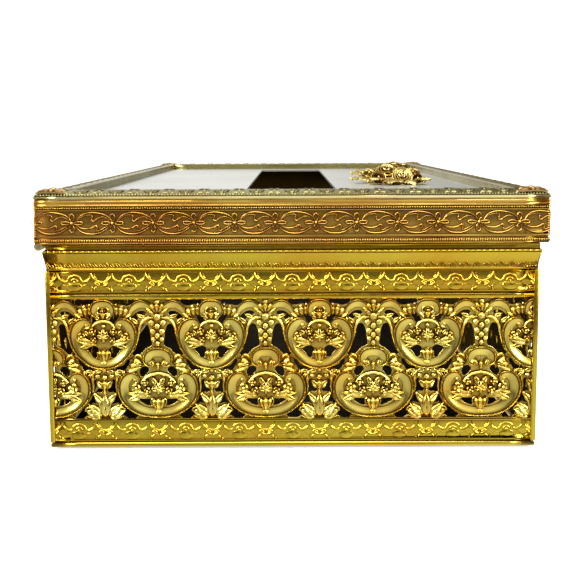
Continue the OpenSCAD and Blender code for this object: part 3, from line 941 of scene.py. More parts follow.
# %% Moulding
def moulding(name, points, half, steps, wobble, seed):
    """A strip of this section between the two ends, lying flat, with a faint unevenness."""
    clear()
    drawn = line_through(points, True, "POLY")
    only(drawn)
    bpy.ops.object.convert(target="MESH")
    strip = bpy.context.object
    strip.name = name
    strip.data.transform(Matrix(((0, 0, 1, -half), (1, 0, 0, 0), (0, 1, 0, 0), (0, 0, 0, 1))))
    only(strip)
    bpy.ops.object.mode_set(mode="EDIT")
    bpy.ops.mesh.select_all(action="SELECT")
    bpy.ops.mesh.edge_face_add()
    for step in range(steps):
        bpy.ops.mesh.extrude_region_move(TRANSFORM_OT_translate={"value": (2 * half / steps, 0, 0)})
    bpy.ops.mesh.select_all(action="SELECT")
    bpy.ops.transform.vertex_random(offset=wobble, normal=0.0, uniform=0.0, seed=seed)
    done()
    return outward(strip)


SLOPE = 0.7071


def mitred(piece, half):
    """Cuts both ends at 45 degrees, from the outer corner inwards."""
    only(piece)
    bpy.ops.object.mode_set(mode="EDIT")
    for way in (1, -1):
        bpy.ops.mesh.select_all(action="SELECT")
        bpy.ops.mesh.bisect(
            plane_co=(way * half, 0, 0), plane_no=(way * SLOPE, 0, -SLOPE), use_fill=True, clear_outer=True
        )
    done()
    return piece


def repeats(motif, half, pitch, phase=0.0):
    """Copies of a motif along a side, at every pitch from the phase, far enough to be cut at both ends."""
    count = math.ceil((half + pitch - phase) / pitch) + math.ceil((half + pitch + phase) / pitch)
    first = phase - pitch * math.ceil((half + pitch + phase) / pitch)
    return in_row(placed(motif, at(first, 0, 0)), count + 1, pitch)


def above(foot, points):
    """A section whose heights are given from its foot."""
    return [(foot + height, out) for height, out in points]


def strip_piece(name, section_points, motifs, side, box_half, wobble, seed, extra=0.0):
    """A moulding with its rows of relief, mitred and stood against its side."""
    half = half_length(side, box_half)
    run = half + extra + 1.0
    strip = moulding(name, section_points, run, max(8, int(half / 4)), wobble, seed)
    smooth(strip, 35)
    rows = [repeats(motif, half, pitch, phase) for motif, pitch, phase in motifs]
    piece = joined([strip, *rows], name)
    mitred(piece, half)
    return stood(piece, side, half_depth(side, box_half))


# %% [markdown]
# ## The two borders
# The borders above and below the filigree carry the same stamped band: an eye under an arch, and a
# ribbon that zigzags between the eyes over small leaves. Their pattern repeats every 15 mm, half of the
# wall's repeat.

# %% The border motif
def border_motif(low):
    """One eye with half a ribbon on each side, centred on height 0, flatter in the lower border."""
    right = [
        scroll([(0, 1.95, 0.34), (1.5, 1.35, 0.34), (2.15, 0.2, 0.34), (3.2, 0.3, 0.42), (4.2, 1.1, 0.42),
                (4.55, 2.45, 0.4)], ROUND, 0.1),
        scroll([(4.6, 2.5, 0.4), (5.1, 1.3, 0.36), (6.3, 0.35, 0.36), (7.5, -0.1, 0.5)], ROUND, 0.1),
        scroll([(5.6, 2.5, 0.3), (5.5, 1.7, 0.26), (6.1, 1.0, 0.22)], ROUND, 0.1),
        scroll([(0, 0.95, 0.24), (0.7, 0.6, 0.24), (1.0, -0.3, 0.2)], ROUND, 0.2),
        lay(LEAF, 3.1, -0.2, 100, 1.5, 3.2, -0.5, 0.1),
        scroll([(2.4, -0.9, 0.2), (4.0, -0.7, 0.22), (4.9, -1.5, 0.3), (4.6, -2.5, 0.34)], ROUND, 0.05),
        scroll([(7.5, -1.2, 0.24), (6.2, -1.3, 0.22), (5.4, -1.9, 0.26), (5.4, -2.5, 0.3)], ROUND, 0.05),
        lay(LEAF, 5.6, 0.1, 125, 1.2, 2.2, 0.7, 0.0),
    ]
    dome = lay(BEAD, 0, -1.3, 0, 2.3, 1.35, 0.55, 0.0)
    dot = lay(BEAD, 0, 0.0, 0, 0.42, 0.42, 0.5, 0.1)
    return symmetric(right, [dome, dot], "border_motif", 0.62 if low else 0.8)


UPPER_MIDDLE = WALL_TOP - 3.15
LOWER_MIDDLE = 5.2
UPPER_SUNK = 0.18
LOWER_SUNK = 0.22
upper_motif = border_motif(False)
upper_motif.data.transform(at(0, UPPER_MIDDLE, -UPPER_SUNK))
lower_motif = border_motif(True)
lower_motif.data.transform(at(0, LOWER_MIDDLE, -LOWER_SUNK))
print("border motif", len(upper_motif.data.polygons), "faces")

# %% The upper border and the skirt
FRIEZE_SECTION = above(FRIEZE_FOOT, [
    (0, -1.0), (0, -0.1), (0.2, 0.08), (0.7, 0.12), (1.2, 0.06), (1.4, -0.15), (1.6, -0.45), (1.85, -0.45),
    (2.0, 0.1), (2.2, 0.12), (2.35, -0.2), (3.2, -0.14), (4.85, -0.06), (6.5, -0.14), (7.35, -0.2),
    (7.5, 0.1), (7.62, 0.1), (7.7, -0.5), (8.0, -0.6), (8.0, -1.0),
])
SKIRT_SECTION = [
    (0.5, -1.0), (0.5, -0.1), (0.62, 0.2), (1.0, 0.34), (1.45, 0.3), (1.75, 0.08), (1.95, -0.35),
    (2.15, -0.35), (2.3, 0.06), (2.5, 0.08), (2.6, -0.22), (3.8, -0.14), (5.2, -0.1), (6.8, -0.14),
    (7.8, -0.22), (7.9, 0.06), (8.15, 0.08), (8.25, -0.3), (8.4, -0.3), (8.5, 0.04), (8.6, 0.0), (8.6, -1.0),
]
BORDER_PITCH = HALF_REPEAT
for number, side in enumerate(TURNS):
    eyes = [(upper_motif, BORDER_PITCH, 0.0)]
    frieze = strip_piece("frieze_" + side + "_border", FRIEZE_SECTION, eyes, side, BODY_HALF, 0.035, number)
    settle(frieze, BORDER_GILT_SHADED, "base", "bright_gilt", "frieze_" + side)
    eyes = [(lower_motif, BORDER_PITCH, 0.0)]
    skirt = strip_piece("skirt_" + side + "_border", SKIRT_SECTION, eyes, side, BODY_HALF, 0.03, number + 4)
    settle(skirt, BORDER_GILT_SHADED, "base", "bright_gilt", "skirt_" + side)
    print(frieze.name, TALLY[frieze.name], "and", skirt.name, TALLY[skirt.name], "triangles")
put_away(upper_motif, lower_motif)

# %% [markdown]
# ## The rim
# Between the walls and the lid the metal turns out in a hollow cove. Slanting strokes fringe the foot
# of the cove, and a bead with a soft wave runs above it. Under the lid the rim is let down along the
# hinge side, where the two hinge leaves lie on it.

# %% Rim section and strokes
COVE_FOOT = WALL_TOP + 0.75
COVE_HEAD = RIM_TOP - 2.6
RIM_PROUD = 0.9
RIM_DEEP = 1.8
STROKE_PITCH = 9.6


def cove_out(share):
    """Outward position along the cove, from its foot to its head."""
    return -0.05 + 0.75 * (1 - math.cos(share * math.pi / 2))


cove = [(COVE_FOOT + (COVE_HEAD - COVE_FOOT) * k / 8, cove_out(k / 8)) for k in range(9)]


def rim_section(top):
    """The rim's section up to this height: a fillet, the cove, a bead and a lip."""
    fillet = above(WALL_TOP, [(0, -0.2), (0.15, 0.14), (0.45, 0.2), (0.65, 0.1)])
    bead = above(
        COVE_HEAD, [(0.15, 0.55), (0.3, 0.8), (0.5, RIM_PROUD), (0.75, 0.8), (0.9, 0.45), (1.1, 0.12)]
    )
    lip = above(RIM_TOP, [(-0.8, 0.1), (-0.65, 0.35), (-0.35, 0.5), (-0.1, 0.4), (0, 0.1)])
    kept = [point for point in bead + lip if point[0] <= top + 0.001]
    return [(WALL_TOP, -RIM_DEEP), *fillet, *cove, *kept, (kept[-1][0], -RIM_DEEP)]


def rim_strokes():
    """Slanting strokes at the foot of the cove, and the wave of the bead over it, for one pitch."""
    parts = []
    for k in range(12):
        slant = -42 if k % 3 else -32
        long = 1.2 + 0.35 * (k % 4)
        parts.append(lay(PETAL, -4.4 + 0.8 * k, COVE_FOOT + 0.05, slant, 0.34, long, 0.24, 0.0))
    for k in range(6):
        parts.append(lay(BEAD, -4.0 + 1.6 * k, COVE_HEAD + 0.5, 0, 0.85, 0.34, 0.3, RIM_PROUD - 0.2))
    return smooth(joined(parts, "rim_strokes"), 60)


strokes = rim_strokes()
HINGE_REST = 56.5
for number, side in enumerate(TURNS):
    top = HINGE_REST if side == "left" else RIM_TOP
    fringe = [(strokes, STROKE_PITCH, 0.0)]
    rim = strip_piece("rim_" + side + "_cove", rim_section(top), fringe, side, BODY_HALF, 0.05, 9 + number, 1)
    settle(rim, BORDER_GILT_SHADED, "base", "bright_gilt", "rim_" + side)
    print(rim.name, TALLY[rim.name], "triangles")
put_away(strokes)

# %% [markdown]
# ## Corner edgings
# A thin beaded bar covers each upright corner of the body. The bar is a small square post with softened
# edges, and the beads are one bead repeated up its outer side.

# %% Beaded corners
EDGING_FOOT = 1.8
EDGING_WIDE = 1.5
EDGING_INSET = 0.2
EDGING_BEAD = 0.62
EDGING_PITCH = 1.15


def edging(x_way, y_way, name):
    clear()
    height = WALL_TOP - EDGING_FOOT
    bpy.ops.mesh.primitive_cube_add(
        size=1.0, location=(0, 0, EDGING_FOOT + height / 2), scale=(EDGING_WIDE, EDGING_WIDE, height)
    )
    post = fix(bpy.context.object)
    finish_with(post, "BEVEL", width=0.45, segments=2, limit_method="ANGLE")
    smooth(post, 30)
    bead = placed(BEAD, at(0.15, -0.15, EDGING_FOOT + 0.7) @ Matrix.Scale(EDGING_BEAD, 4))
    row = in_steps(bead, int(height / EDGING_PITCH), (0, 0, EDGING_PITCH))
    corner = joined([post, row], "edging_" + name + "_beads")
    place = at(x_way * (BODY_HALF.x - EDGING_INSET) * MM, y_way * (BODY_HALF.y - EDGING_INSET) * MM, 0)
    turn = Matrix.Rotation(math.atan2(y_way, x_way) + math.pi / 4, 4, "Z")
    corner.data.transform(place @ turn @ Matrix.Scale(MM, 4))
    return settle(corner, BORDER_GILT_SHADED, "base", "bright_gilt", "edging_" + name)


CORNERS = {"front_right": (1, -1), "back_right": (1, 1), "back_left": (-1, 1), "front_left": (-1, -1)}
for name, (x_way, y_way) in CORNERS.items():
    edging(x_way, y_way, name)
print("four beaded corners of", TALLY["edging_front_left_beads"], "triangles")

# %% [markdown]
# ## The lid band
# The band is one rolled moulding: a knurled rope at its foot, a sunk frieze of flowers between pointed
# ovals, a second fine knurl and a bright top bead, which is a piece of its own and whose paler gilt is a
# painted highlight. The flower pattern repeats every 11 mm, and the knurls are much finer. On the hinge
# side the foot is a little higher, to leave room for the knuckles.

# %% Lid frieze motif
LID_PITCH = 11.02
LID_PHASE = 61.6
LID_MIDDLE = 63.85
LID_SUNK = 0.42


def outlined_drop(turn, wide, long):
    """A drop-shaped petal drawn as a raised line, its point on the flower's bead."""
    waist = long * 0.62
    outline = [
        (0.1, 0.35, 0.2), (wide / 2, waist, 0.24), (0.0, long, 0.26), (-wide / 2, waist, 0.24),
        (-0.1, 0.35, 0.2),
    ]
    drop = scroll(outline, ROUND, 0.1)
    drop.data.transform(turned(-turn, "Z"))
    return drop


def lid_motif():
    """A flower, and to its right the pointed oval of two crescent leaves that reaches the next flower."""
    parts = [lay(BEAD, 0, 0, 0, 0.55, 0.55, 0.75, 0.1)]
    for turn, wide, long in ((0, 1.3, 2.5), (90, 0.8, 2.9), (180, 1.3, 2.5), (270, 0.8, 2.9)):
        parts.append(outlined_drop(turn, wide, long))
    lines = [
        [(1.4, 0.5, 0.2), (2.4, 1.95, 0.24), (4.3, 2.8, 0.28), (6.9, 2.8, 0.28), (9.4, 2.05, 0.24),
         (10.6, 1.0, 0.2)],
        [(1.7, 0.9, 0.16), (2.8, 1.85, 0.18), (4.3, 2.25, 0.2), (5.6, 2.0, 0.22), (5.3, 1.0, 0.26),
         (5.8, 0.5, 0.28), (6.5, 0.95, 0.22), (7.8, 1.65, 0.2), (9.0, 1.6, 0.18), (10.4, 0.6, 0.16)],
        [(1.2, -1.15, 0.2), (2.4, -2.3, 0.24), (5.0, -2.95, 0.28), (7.8, -2.5, 0.24), (9.8, -1.2, 0.2)],
        [(1.4, -0.75, 0.16), (2.6, -1.35, 0.2), (4.3, -1.5, 0.2), (5.7, -1.1, 0.24), (6.5, -0.65, 0.3),
         (6.9, -1.3, 0.24), (6.6, -2.0, 0.2), (8.2, -1.6, 0.18), (9.8, -0.6, 0.16)],
    ]
    parts += [scroll(line, ROUND, 0.1, 2) for line in lines]
    motif = joined(parts, "lid_motif")
    motif.data.transform(at(0, LID_MIDDLE, -LID_SUNK) @ stretched(1, 1, 1.2))
    return smooth(motif, 60)


KNURL_PITCH = 0.64
KNURL_RIBS = 10


def knurl(height, long, out, slant):
    """A short row of slanted ribs, to be repeated along the band."""
    wide = KNURL_PITCH * 0.52
    parts = [lay(SEED, KNURL_PITCH * k, height, slant, wide, long, 0.34, out) for k in range(KNURL_RIBS)]
    return smooth(joined(parts, "knurl"), 60)


rope = knurl(LID_FOOT + 0.85, 0.6, -0.28, 12)
fine_knurl = knurl(LID_FOOT + 9.75, 0.34, -0.3, 0)
flowers = lid_motif()
print("lid motif", len(flowers.data.polygons), "faces")

# %% The band on four sides
BAND_SECTION = above(LID_FOOT, [
    (0, -1.0), (0, -0.35), (0.2, -0.15), (0.45, -0.3), (1.3, -0.3), (1.5, -0.45), (1.7, -0.45), (1.85, -0.12),
    (2.1, -0.05), (2.35, -0.15), (2.45, -0.42), (4.0, -0.38), (5.75, -0.35), (7.5, -0.38), (8.95, -0.42),
    (9.05, -0.12), (9.25, -0.06), (9.4, -0.4), (10.1, -0.4), (10.25, -0.2), (10.5, -0.12), (10.8, -0.3),
    (11.1, -0.25), (11.45, -0.1), (11.75, -0.2), (11.9, -0.42), (11.9, -1.0),
])
TOP_BEAD = above(LID_FOOT, [
    (11.9, -1.0), (11.9, -0.42), (12.15, -0.42), (12.3, -0.15), (12.6, 0.0), (12.85, -0.08),
    (BAND_HIGH, -0.35), (BAND_HIGH, -1.0),
])
KNUCKLE_ROOM = 0.4
KNURL_RUN = KNURL_PITCH * KNURL_RIBS
for number, side in enumerate(TURNS):
    foot = LID_FOOT + (KNUCKLE_ROOM if side == "left" else 0.0)
    points = [(max(height, foot), out) for height, out in BAND_SECTION]
    rows = [(flowers, LID_PITCH, LID_PHASE), (rope, KNURL_RUN, 0.0), (fine_knurl, KNURL_RUN, 0.0)]
    band = strip_piece("lid_band_" + side + "_moulding", points, rows, side, LID_HALF, 0.035, 20 + number)
    settle(band, LID_GILT, "lid", "lid_gilt", "lid_band_" + side)
    # The top bead's paler gilt is a painted highlight.
    bead = strip_piece("lid_top_bead_" + side, TOP_BEAD, [], side, LID_HALF, 0.04, 30 + number)
    settle(bead, BEAD_GILT_HIGHLIT, "lid", "lid_gilt")
    print(band.name, TALLY[band.name], "triangles, and its bead", TALLY[bead.name])
put_away(rope, fine_knurl, flowers)

# %% [markdown]
# A row of fine beads hides the mitre at each corner of the band.

# %% Beads down the corners of the band
CORNER_BEADS = 16
CORNER_PITCH = 0.62
CORNER_BEAD = 0.36
CORNER_INSET = 0.3
for name, (x_way, y_way) in CORNERS.items():
    x, y = x_way * (LID_HALF.x - CORNER_INSET), y_way * (LID_HALF.y - CORNER_INSET)
    places = [at(x, y, LID_FOOT + 2.2 + CORNER_PITCH * k) for k in range(CORNER_BEADS)]
    beads = [placed(SEED, place @ Matrix.Scale(CORNER_BEAD, 4)) for place in places]
    row = smooth(joined(beads, "lid_corner_beads_" + name), 60)
    row.data.transform(Matrix.Scale(MM, 4))
    settle(row, LID_GILT, "lid", "lid_gilt")
print("four rows of", CORNER_BEADS, "corner beads")


# %% [markdown]
# The foot of the band turns in as a flange that rests over the rim. It is a plain folded strip, seen
# when the lid is open. Along the hinge it is cut short, so that the knuckles have room.

# %% Flange under the band
FLANGE_INNER = -4.3
FLANGE_OUTER = -1.0
FLANGE_AT_HINGE = -2.9
FLANGE_THICK = 0.8


def flange(side):
    half = half_length(side, LID_HALF)
    outer = FLANGE_AT_HINGE if side == "left" else FLANGE_OUTER
    points = above(
        LID_FOOT, [(0, FLANGE_INNER), (0, outer), (FLANGE_THICK, outer), (FLANGE_THICK, FLANGE_INNER + 0.1)]
    )
    ledge = moulding("lid_flange_" + side, points, half + 1, 12, 0.0, 1)
    finish_with(ledge, "BEVEL", width=0.12, segments=2, limit_method="ANGLE")
    mitred(ledge, half)
    stood(ledge, side, half_depth(side, LID_HALF))
    return settle(smooth(ledge, 30), LID_GILT, "lid", "lid_gilt")


for side in TURNS:
    print(flange(side).name, TALLY["lid_flange_" + side], "triangles")

# %% [markdown]
# ## The frame on top of the lid
# The top frame is a crowned rail, 8 mm wide, with a stamped band of scallops and leaves, and a row of
# tiny beads along its outer edge. In the closed lid it holds the panel down.

# %% Rail section and its relief
RAIL_WIDE = 8.0
RAIL_CROWN = 1.5
RAIL_PITCH = 9.6


def rail_height(share):
    return BAND_TOP + 0.2 + (RAIL_CROWN - 0.2) * math.sin(math.radians(115 * share))


rail_face = [(rail_height(k / 9), -0.5 - (RAIL_WIDE - 1) * k / 9) for k in range(10)]
RAIL_SECTION = [
    (PANEL_TOP, -RAIL_WIDE), (PANEL_TOP, -1.0), (BAND_TOP, -1.0), (BAND_TOP, -0.28), (BAND_TOP + 0.2, -0.28),
    *rail_face, (BAND_TOP + 1.25, -RAIL_WIDE + 0.2), (BAND_TOP + 1.05, -RAIL_WIDE),
]


def rail_motif():
    """Scallops and leaves, drawn flat across the rail: Y is the distance in from the outer edge."""
    parts = []
    for way in (-1, 1):
        parts += [
            scroll([(0, 5.9, 0.3), (way * 1.8, 5.4, 0.3), (way * 3.2, 4.1, 0.34), (way * 4.8, 2.5, 0.3)],
                   ROUND, 0),
            lay(LEAF, way * 0.3, 2.0, way * 32, 1.5, 3.4, 0.8),
            lay(LEAF, way * 4.6, 6.4, way * -150, 1.1, 2.6, 0.7),
            lay(LEAF, way * 3.2, 1.7, way * 78, 0.9, 1.6, 0.7),
        ]
    parts += [
        lay(LEAF, 0, 1.8, 0, 1.6, 3.6, 0.9),
        lay(BEAD, 0, 1.6, 0, 0.7, 0.6, 0.6),
        lay(BEAD, 4.8, 4.6, 0, 0.6, 0.6, 0.5),
    ]
    return smooth(joined(parts, "rail_motif"), 60)


def rail(side, number):
    """The relief is repeated flat, bent over the crown by moving its points, then joined to the strip."""
    half = half_length(side, LID_HALF)
    row = repeats(RAIL_MOTIF, half, RAIL_PITCH, 0.0)
    beads = repeats(EDGE_BEADS, half, RAIL_PITCH, 0.0)
    relief = joined([row, beads], "rail_relief")
    for vertex in relief.data.vertices:
        share = min(max((vertex.co.y - 0.5) / (RAIL_WIDE - 1), 0.0), 1.0)
        across, out = vertex.co.y, vertex.co.z
        vertex.co.y = rail_height(share) + out * 0.55 - 0.12
        vertex.co.z = -across
    strip = smooth(moulding("rail", RAIL_SECTION, half + 1, int(half / 4), 0.05, 40 + number), 35)
    piece = joined([strip, outward(relief)], "lid_rail_" + side + "_stamped")
    mitred(piece, half)
    stood(piece, side, half_depth(side, LID_HALF))
    # The rail's darker gilt is painted shade for what its crown reflects.
    return settle(piece, RAIL_GILT_SHADED, "lid", "lid_gilt", "lid_rail_" + side)


RAIL_MOTIF = rail_motif()
edge = [lay(SEED, 0.8 * k, 0.75 + 0.12 * math.sin(k * 2.1), 20, 0.36, 0.42, 0.75, 0.1) for k in range(12)]
EDGE_BEADS = joined(edge, "edge_beads")
for number, side in enumerate(TURNS):
    print(rail(side, number).name, TALLY["lid_rail_" + side + "_stamped"], "triangles")
put_away(RAIL_MOTIF, EDGE_BEADS)


# %% [markdown]
# A small square of leaves covers each mitre of the frame: four leaves point to its corners, with a bead
# in the middle, on a thin domed plate.

# %% Corner ornaments
CAP_HALF = 3.9
CAP_INSET = 4.5


def corner_cap(x_way, y_way, name):
    clear()
    bpy.ops.mesh.primitive_grid_add(x_subdivisions=8, y_subdivisions=8, size=2 * CAP_HALF)
    plate = bpy.context.object
    for vertex in plate.data.vertices:
        reach = vertex.co.xy.length / CAP_HALF
        dome = 0.5 * max(0.0, math.cos(min(reach, 1.4) * 1.1))
        vertex.co.z = dome + 0.1 * math.cos(vertex.co.x * 3) * math.cos(vertex.co.y * 3)
    finish_with(plate, "SOLIDIFY", thickness=0.5, offset=-1)
    parts = [plate]
    for turn in range(0, 360, 90):
        parts.append(lay(LEAF, 0, 0, turn + 45, 2.4, 4.6, 1.0, 0.25))
        parts.append(lay(PETAL, 0, 0, turn, 1.6, 3.4, 0.9, 0.2))
    parts.append(lay(BEAD, 0, 0, 0, 1.1, 1.1, 0.9, 0.8))
    cap = smooth(joined(parts, "corner_cap_" + name + "_leaves"), 50)
    middle = at(x_way * (LID_HALF.x - CAP_INSET), y_way * (LID_HALF.y - CAP_INSET), BAND_TOP + 1.05)
    cap.data.transform(Matrix.Scale(MM, 4) @ middle @ stretched(1, 1, 0.75))
    return settle(cap, COPPER_GILT, "lid", "copper_gilt", "corner_cap_" + name)


for name, (x_way, y_way) in CORNERS.items():
    corner_cap(x_way, y_way, name)
print("corner ornaments of", TALLY["corner_cap_front_left_leaves"], "triangles")

# %% [markdown]
# ## The rose spray
# The spray is one casting of veined leaves with three roses and some buds riveted on it. A rose is
# rings of cupped petals, tighter and higher towards the middle. One petal is shaped from a grid, given
# a thickness, and copied round. The leaves are one leaf too, with a saw-toothed edge, a sunk rib and
# side veins.

# %% A cast petal
def cast_petal():
    """A petal one millimetre high on a ring one millimetre in radius, with a lip that rolls outwards."""
    clear()
    bpy.ops.mesh.primitive_grid_add(x_subdivisions=6, y_subdivisions=5, size=2.0)
    petal = bpy.context.object
    petal.name = "cast_petal"
    for vertex in petal.data.vertices:
        across, up = vertex.co.x, (vertex.co.y + 1) / 2
        turn = across * math.radians(58)
        radius = 0.45 + 0.55 * up ** 0.7 + 0.16 * max(0.0, up - 0.7) / 0.3
        high = up * (1 - 0.22 * across * across) - 0.12 * max(0.0, up - 0.8) / 0.2
        vertex.co = (radius * math.sin(turn), -radius * math.cos(turn), high)
    finish_with(petal, "SOLIDIFY", thickness=0.1, offset=0)
    return smooth(outward(petal), 60)


# %% A cast leaf
def cast_leaf():
    """A leaf one millimetre long and one wide, lying along Y, arched, with teeth and veins."""
    clear()
    bpy.ops.mesh.primitive_grid_add(x_subdivisions=10, y_subdivisions=16, size=1.0, location=(0, 0.5, 0))
    leaf = fix(bpy.context.object)
    leaf.name = "cast_leaf"
    for vertex in leaf.data.vertices:
        across, along = 2 * vertex.co.x, vertex.co.y
        swell = math.sin(math.pi * min(along, 0.999) ** 0.8) ** 0.8
        teeth = 1 + 0.09 * math.cos(along * 2 * math.pi * 8) * abs(across)
        veins = 0.035 * math.cos((along - 0.35 * abs(across)) * 2 * math.pi * 6) * abs(across)
        rib = -0.07 * math.exp(-((across * 5) ** 2))
        vertex.co.x = across / 2 * max(swell, 0.04) * teeth
        vertex.co.y = along + 0.08 * abs(across) * (1 - along)
        vertex.co.z = 0.16 * math.sin(math.pi * along) - 0.12 * across * across + veins + rib
    finish_with(leaf, "SOLIDIFY", thickness=0.07, offset=-1)
    return smooth(outward(leaf), 60)


CAST_PETAL = cast_petal()
CAST_LEAF = cast_leaf()
print("petal", triangles(CAST_PETAL), "and leaf", triangles(CAST_LEAF), "triangles")


def petal_ring(place, count, start, wide, tall):
    """Petals round a place, the first one turned by start degrees."""
    stretch = stretched(wide, wide, tall)
    return [placed(CAST_PETAL, place @ turned(360 * k / count + start, "Z") @ stretch) for k in range(count)]


# %% Roses
def rose(name, node, rings, size, nod, raised):
    """Rings of petals from the outside in, as (count, radius, height, lift), leaning to the front."""
    low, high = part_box(node)
    middle = (low + high) / 2 / MM
    foot, top = low.z / MM, high.z / MM
    radius, height = size * (high.x - low.x) / 2 / MM, size * (top - foot)
    parts = []
    for number, (count, wide, tall, lift) in enumerate(rings):
        parts += petal_ring(at(0, 0, lift * height), count, 37 * number, wide * radius, tall * height)
    spiral = [(-0.16, 0, 1), (0.02, 0.18, 1), (0.22, 0.0, 1), (0.0, -0.26, 1), (-0.34, 0.0, 1), (0, 0.42, 1)]
    heart = scroll(spiral, HEART, 0, 4)
    parts.append(placed(heart, at(0, 0, 0.78 * height) @ stretched(radius, radius, height)))
    core = stretched(0.5 * radius, 0.5 * radius, 0.38 * height)
    parts.append(placed(BEAD, at(0, 0, 0.42 * height) @ core))
    put_away(heart)
    bloom = smooth(joined(parts, name), 60)
    lean = at(middle.x, middle.y, foot + raised) @ turned(nod, "X")
    bloom.data.transform(Matrix.Scale(MM, 4) @ lean)
    return settle(bloom, SPRAY_GILT, "lid", "antique_gilt", node)


HEART = section("heart_section", [(-0.05, -0.16), (-0.05, 0.14), (0.0, 0.18), (0.05, 0.14), (0.05, -0.16)])
FULL_ROSE = [(6, 0.84, 0.66, 0.0), (5, 0.66, 0.74, 0.12), (5, 0.5, 0.66, 0.28), (4, 0.33, 0.5, 0.44)]
for place, size, nod, raised in (("front", 0.7, 55, 0.8), ("middle", 0.9, 34, 0.4), ("back", 1.0, 16, 0.1)):
    bloom = rose("rose_" + place + "_bloom", "rose_" + place, FULL_ROSE, size, nod, raised)
    print(bloom.name, TALLY[bloom.name], "triangles")

# %% Leaves and buds
SPRAY = (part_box("spray_leaves")[0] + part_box("spray_leaves")[1]) / 2 / MM
LEAF_LIFT = 0.75
STEM_LIFT = 0.6
LEAF_ARCH = 7.0
# Each leaf: the place of its foot from the middle of the spray, its turn, length and width, and its rise
LEAF_PLACES = [
    (0, -15, 200, 12.5, 7.5, 4), (0, 15, 8, 12.0, 7.5, 6), (-7, -9, -88, 9.8, 5.2, 8),
    (-6.4, -4, -82, 10.4, 5.0, 19), (-5, 3, -66, 10.0, 5.0, 24), (-2.6, -17.0, 188, 8.0, 6.5, 2),
    (2.5, -18.0, 160, 7.5, 6.0, 2),
]
for step in range(5):
    for way in (-1, 1):
        turn, long, rise = way * (62 - 5 * step), 12.5 - abs(step - 2), 4 + 2 * (step % 2)
        LEAF_PLACES.append((way * 1.0, -20 + 10 * step, turn, long, 7.4, rise))
for way in (-1, 1):
    LEAF_PLACES.append((way * 3, -17, way * 128, 10.0, 6.0, 10))


def spray_leaves():
    parts = []
    for x, y, turn, long, wide, rise in LEAF_PLACES:
        place = at(SPRAY.x + x, SPRAY.y + y, PANEL_TOP + LEAF_LIFT) @ turned(-turn, "Z")
        shape = turned(rise, "X") @ stretched(wide, long, LEAF_ARCH)
        parts.append(placed(CAST_LEAF, place @ shape))
    stem = scroll([(0, -20, 0.9), (0.8, -8, 1.1), (-0.6, 6, 1.0), (0.3, 18, 0.7)], ROUND, 0)
    parts.append(placed(stem, at(SPRAY.x, SPRAY.y, PANEL_TOP + STEM_LIFT)))
    put_away(stem)
    leaves = joined(parts, "spray_leaves_cast")
    leaves.data.transform(Matrix.Scale(MM, 4))
    return settle(leaves, SPRAY_GILT, "lid", "antique_gilt", "spray_leaves")


# Each bud: its place from the middle of the spray, size, lean to the front, height of its foot, and spread
BUD_PLACES = [
    (6.4, -19.4, 1.6, 72, 1.5, 0.95), (-7.4, -18.6, 1.6, 60, 1.4, 1.45), (6.5, 5, 1.5, 20, 1.5, 1.5),
    (-7.5, 10, 1.5, 16, 1.5, 1.5), (-2.5, 20, 1.5, 8, 1.5, 1.5), (-9.5, -5.5, 1.3, 30, 1.8, 1.5),
    (6.5, -6.5, 1.6, 24, 1.5, 1.5),
]

# The rings of a bud: the count of petals, the turn of the first one, and their width and height
BUD_RINGS = [(7, 0, 1.0, 1.9), (6, 18, 0.72, 2.1), (5, 36, 0.45, 2.3)]


def spray_buds():
    parts = []
    for x, y, size, lean, lift, spread in BUD_PLACES:
        place = at(SPRAY.x + x, SPRAY.y + y, PANEL_TOP + lift) @ turned(lean, "X")
        for count, start, wide, tall in BUD_RINGS:
            parts += petal_ring(place, count, start, wide * spread * size, tall * size)
        parts.append(placed(BEAD, place @ at(0, 0, 1.5 * size) @ stretched(0.6, 0.6, 1.0)))
    buds = smooth(joined(parts, "spray_buds_cast"), 60)
    buds.data.transform(Matrix.Scale(MM, 4))
    return settle(buds, SPRAY_GILT, "lid", "antique_gilt", "spray_buds")


print(TALLY[spray_leaves().name], "triangles in the leaves and", TALLY[spray_buds().name], "in the buds")
put_away(CAST_PETAL, CAST_LEAF)


# %% [markdown]
# ## Felt and velvet
# Red felt is glued under the floor plate, and dark velvet lies on it inside. Each is a thin slab cut
# with rounded corners: its edge is softened, and its top is divided by two insets.

# %% Cloth sheets
def cloth(name, node, rounding, edge):
    low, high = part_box(node)
    size = high - low
    clear()
    bpy.ops.mesh.primitive_cube_add(size=1.0, location=(low + high) / 2, scale=size)
    sheet = fix(bpy.context.object)
    sheet.name = name
    corner = Vector((size.x, size.y, 0)).length / 2 * 0.999
    middle = (low + high) / 2
    pick(sheet, "EDGE", lambda c: (c - middle).xy.length > corner)
    bpy.ops.mesh.bevel(offset=rounding, segments=5)
    done()
    pick(sheet, "EDGE", lambda c: c.z > high.z - 1e-6)
    bpy.ops.mesh.bevel(offset=edge, segments=2)
    done()
    for margin in (0.002, 0.004):
        pick(sheet, "FACE", lambda c: c.z > high.z - 1e-6 and abs(c.x - middle.x) < size.x / 4)
        bpy.ops.mesh.inset(thickness=margin, use_even_offset=False)
        done()
    return smooth(outward(sheet), 50)


felt = cloth("felt_sheet", "felt_pad", 0.003, 0.0002)
settle(felt, FELT, "base", "red_felt", "felt_pad")
velvet = cloth("velvet_sheet", "floor_lining", 0.001, 0.0003)
settle(velvet, VELVET, "base", "dark_velvet", "floor_lining")
put_away(BEAD, SEED, LEAF, PETAL, SMALL_PETAL, FLOWER, CHANNEL, ROUND, HEART)
print(felt.name, TALLY[felt.name], "and", velvet.name, TALLY[velvet.name], "triangles")

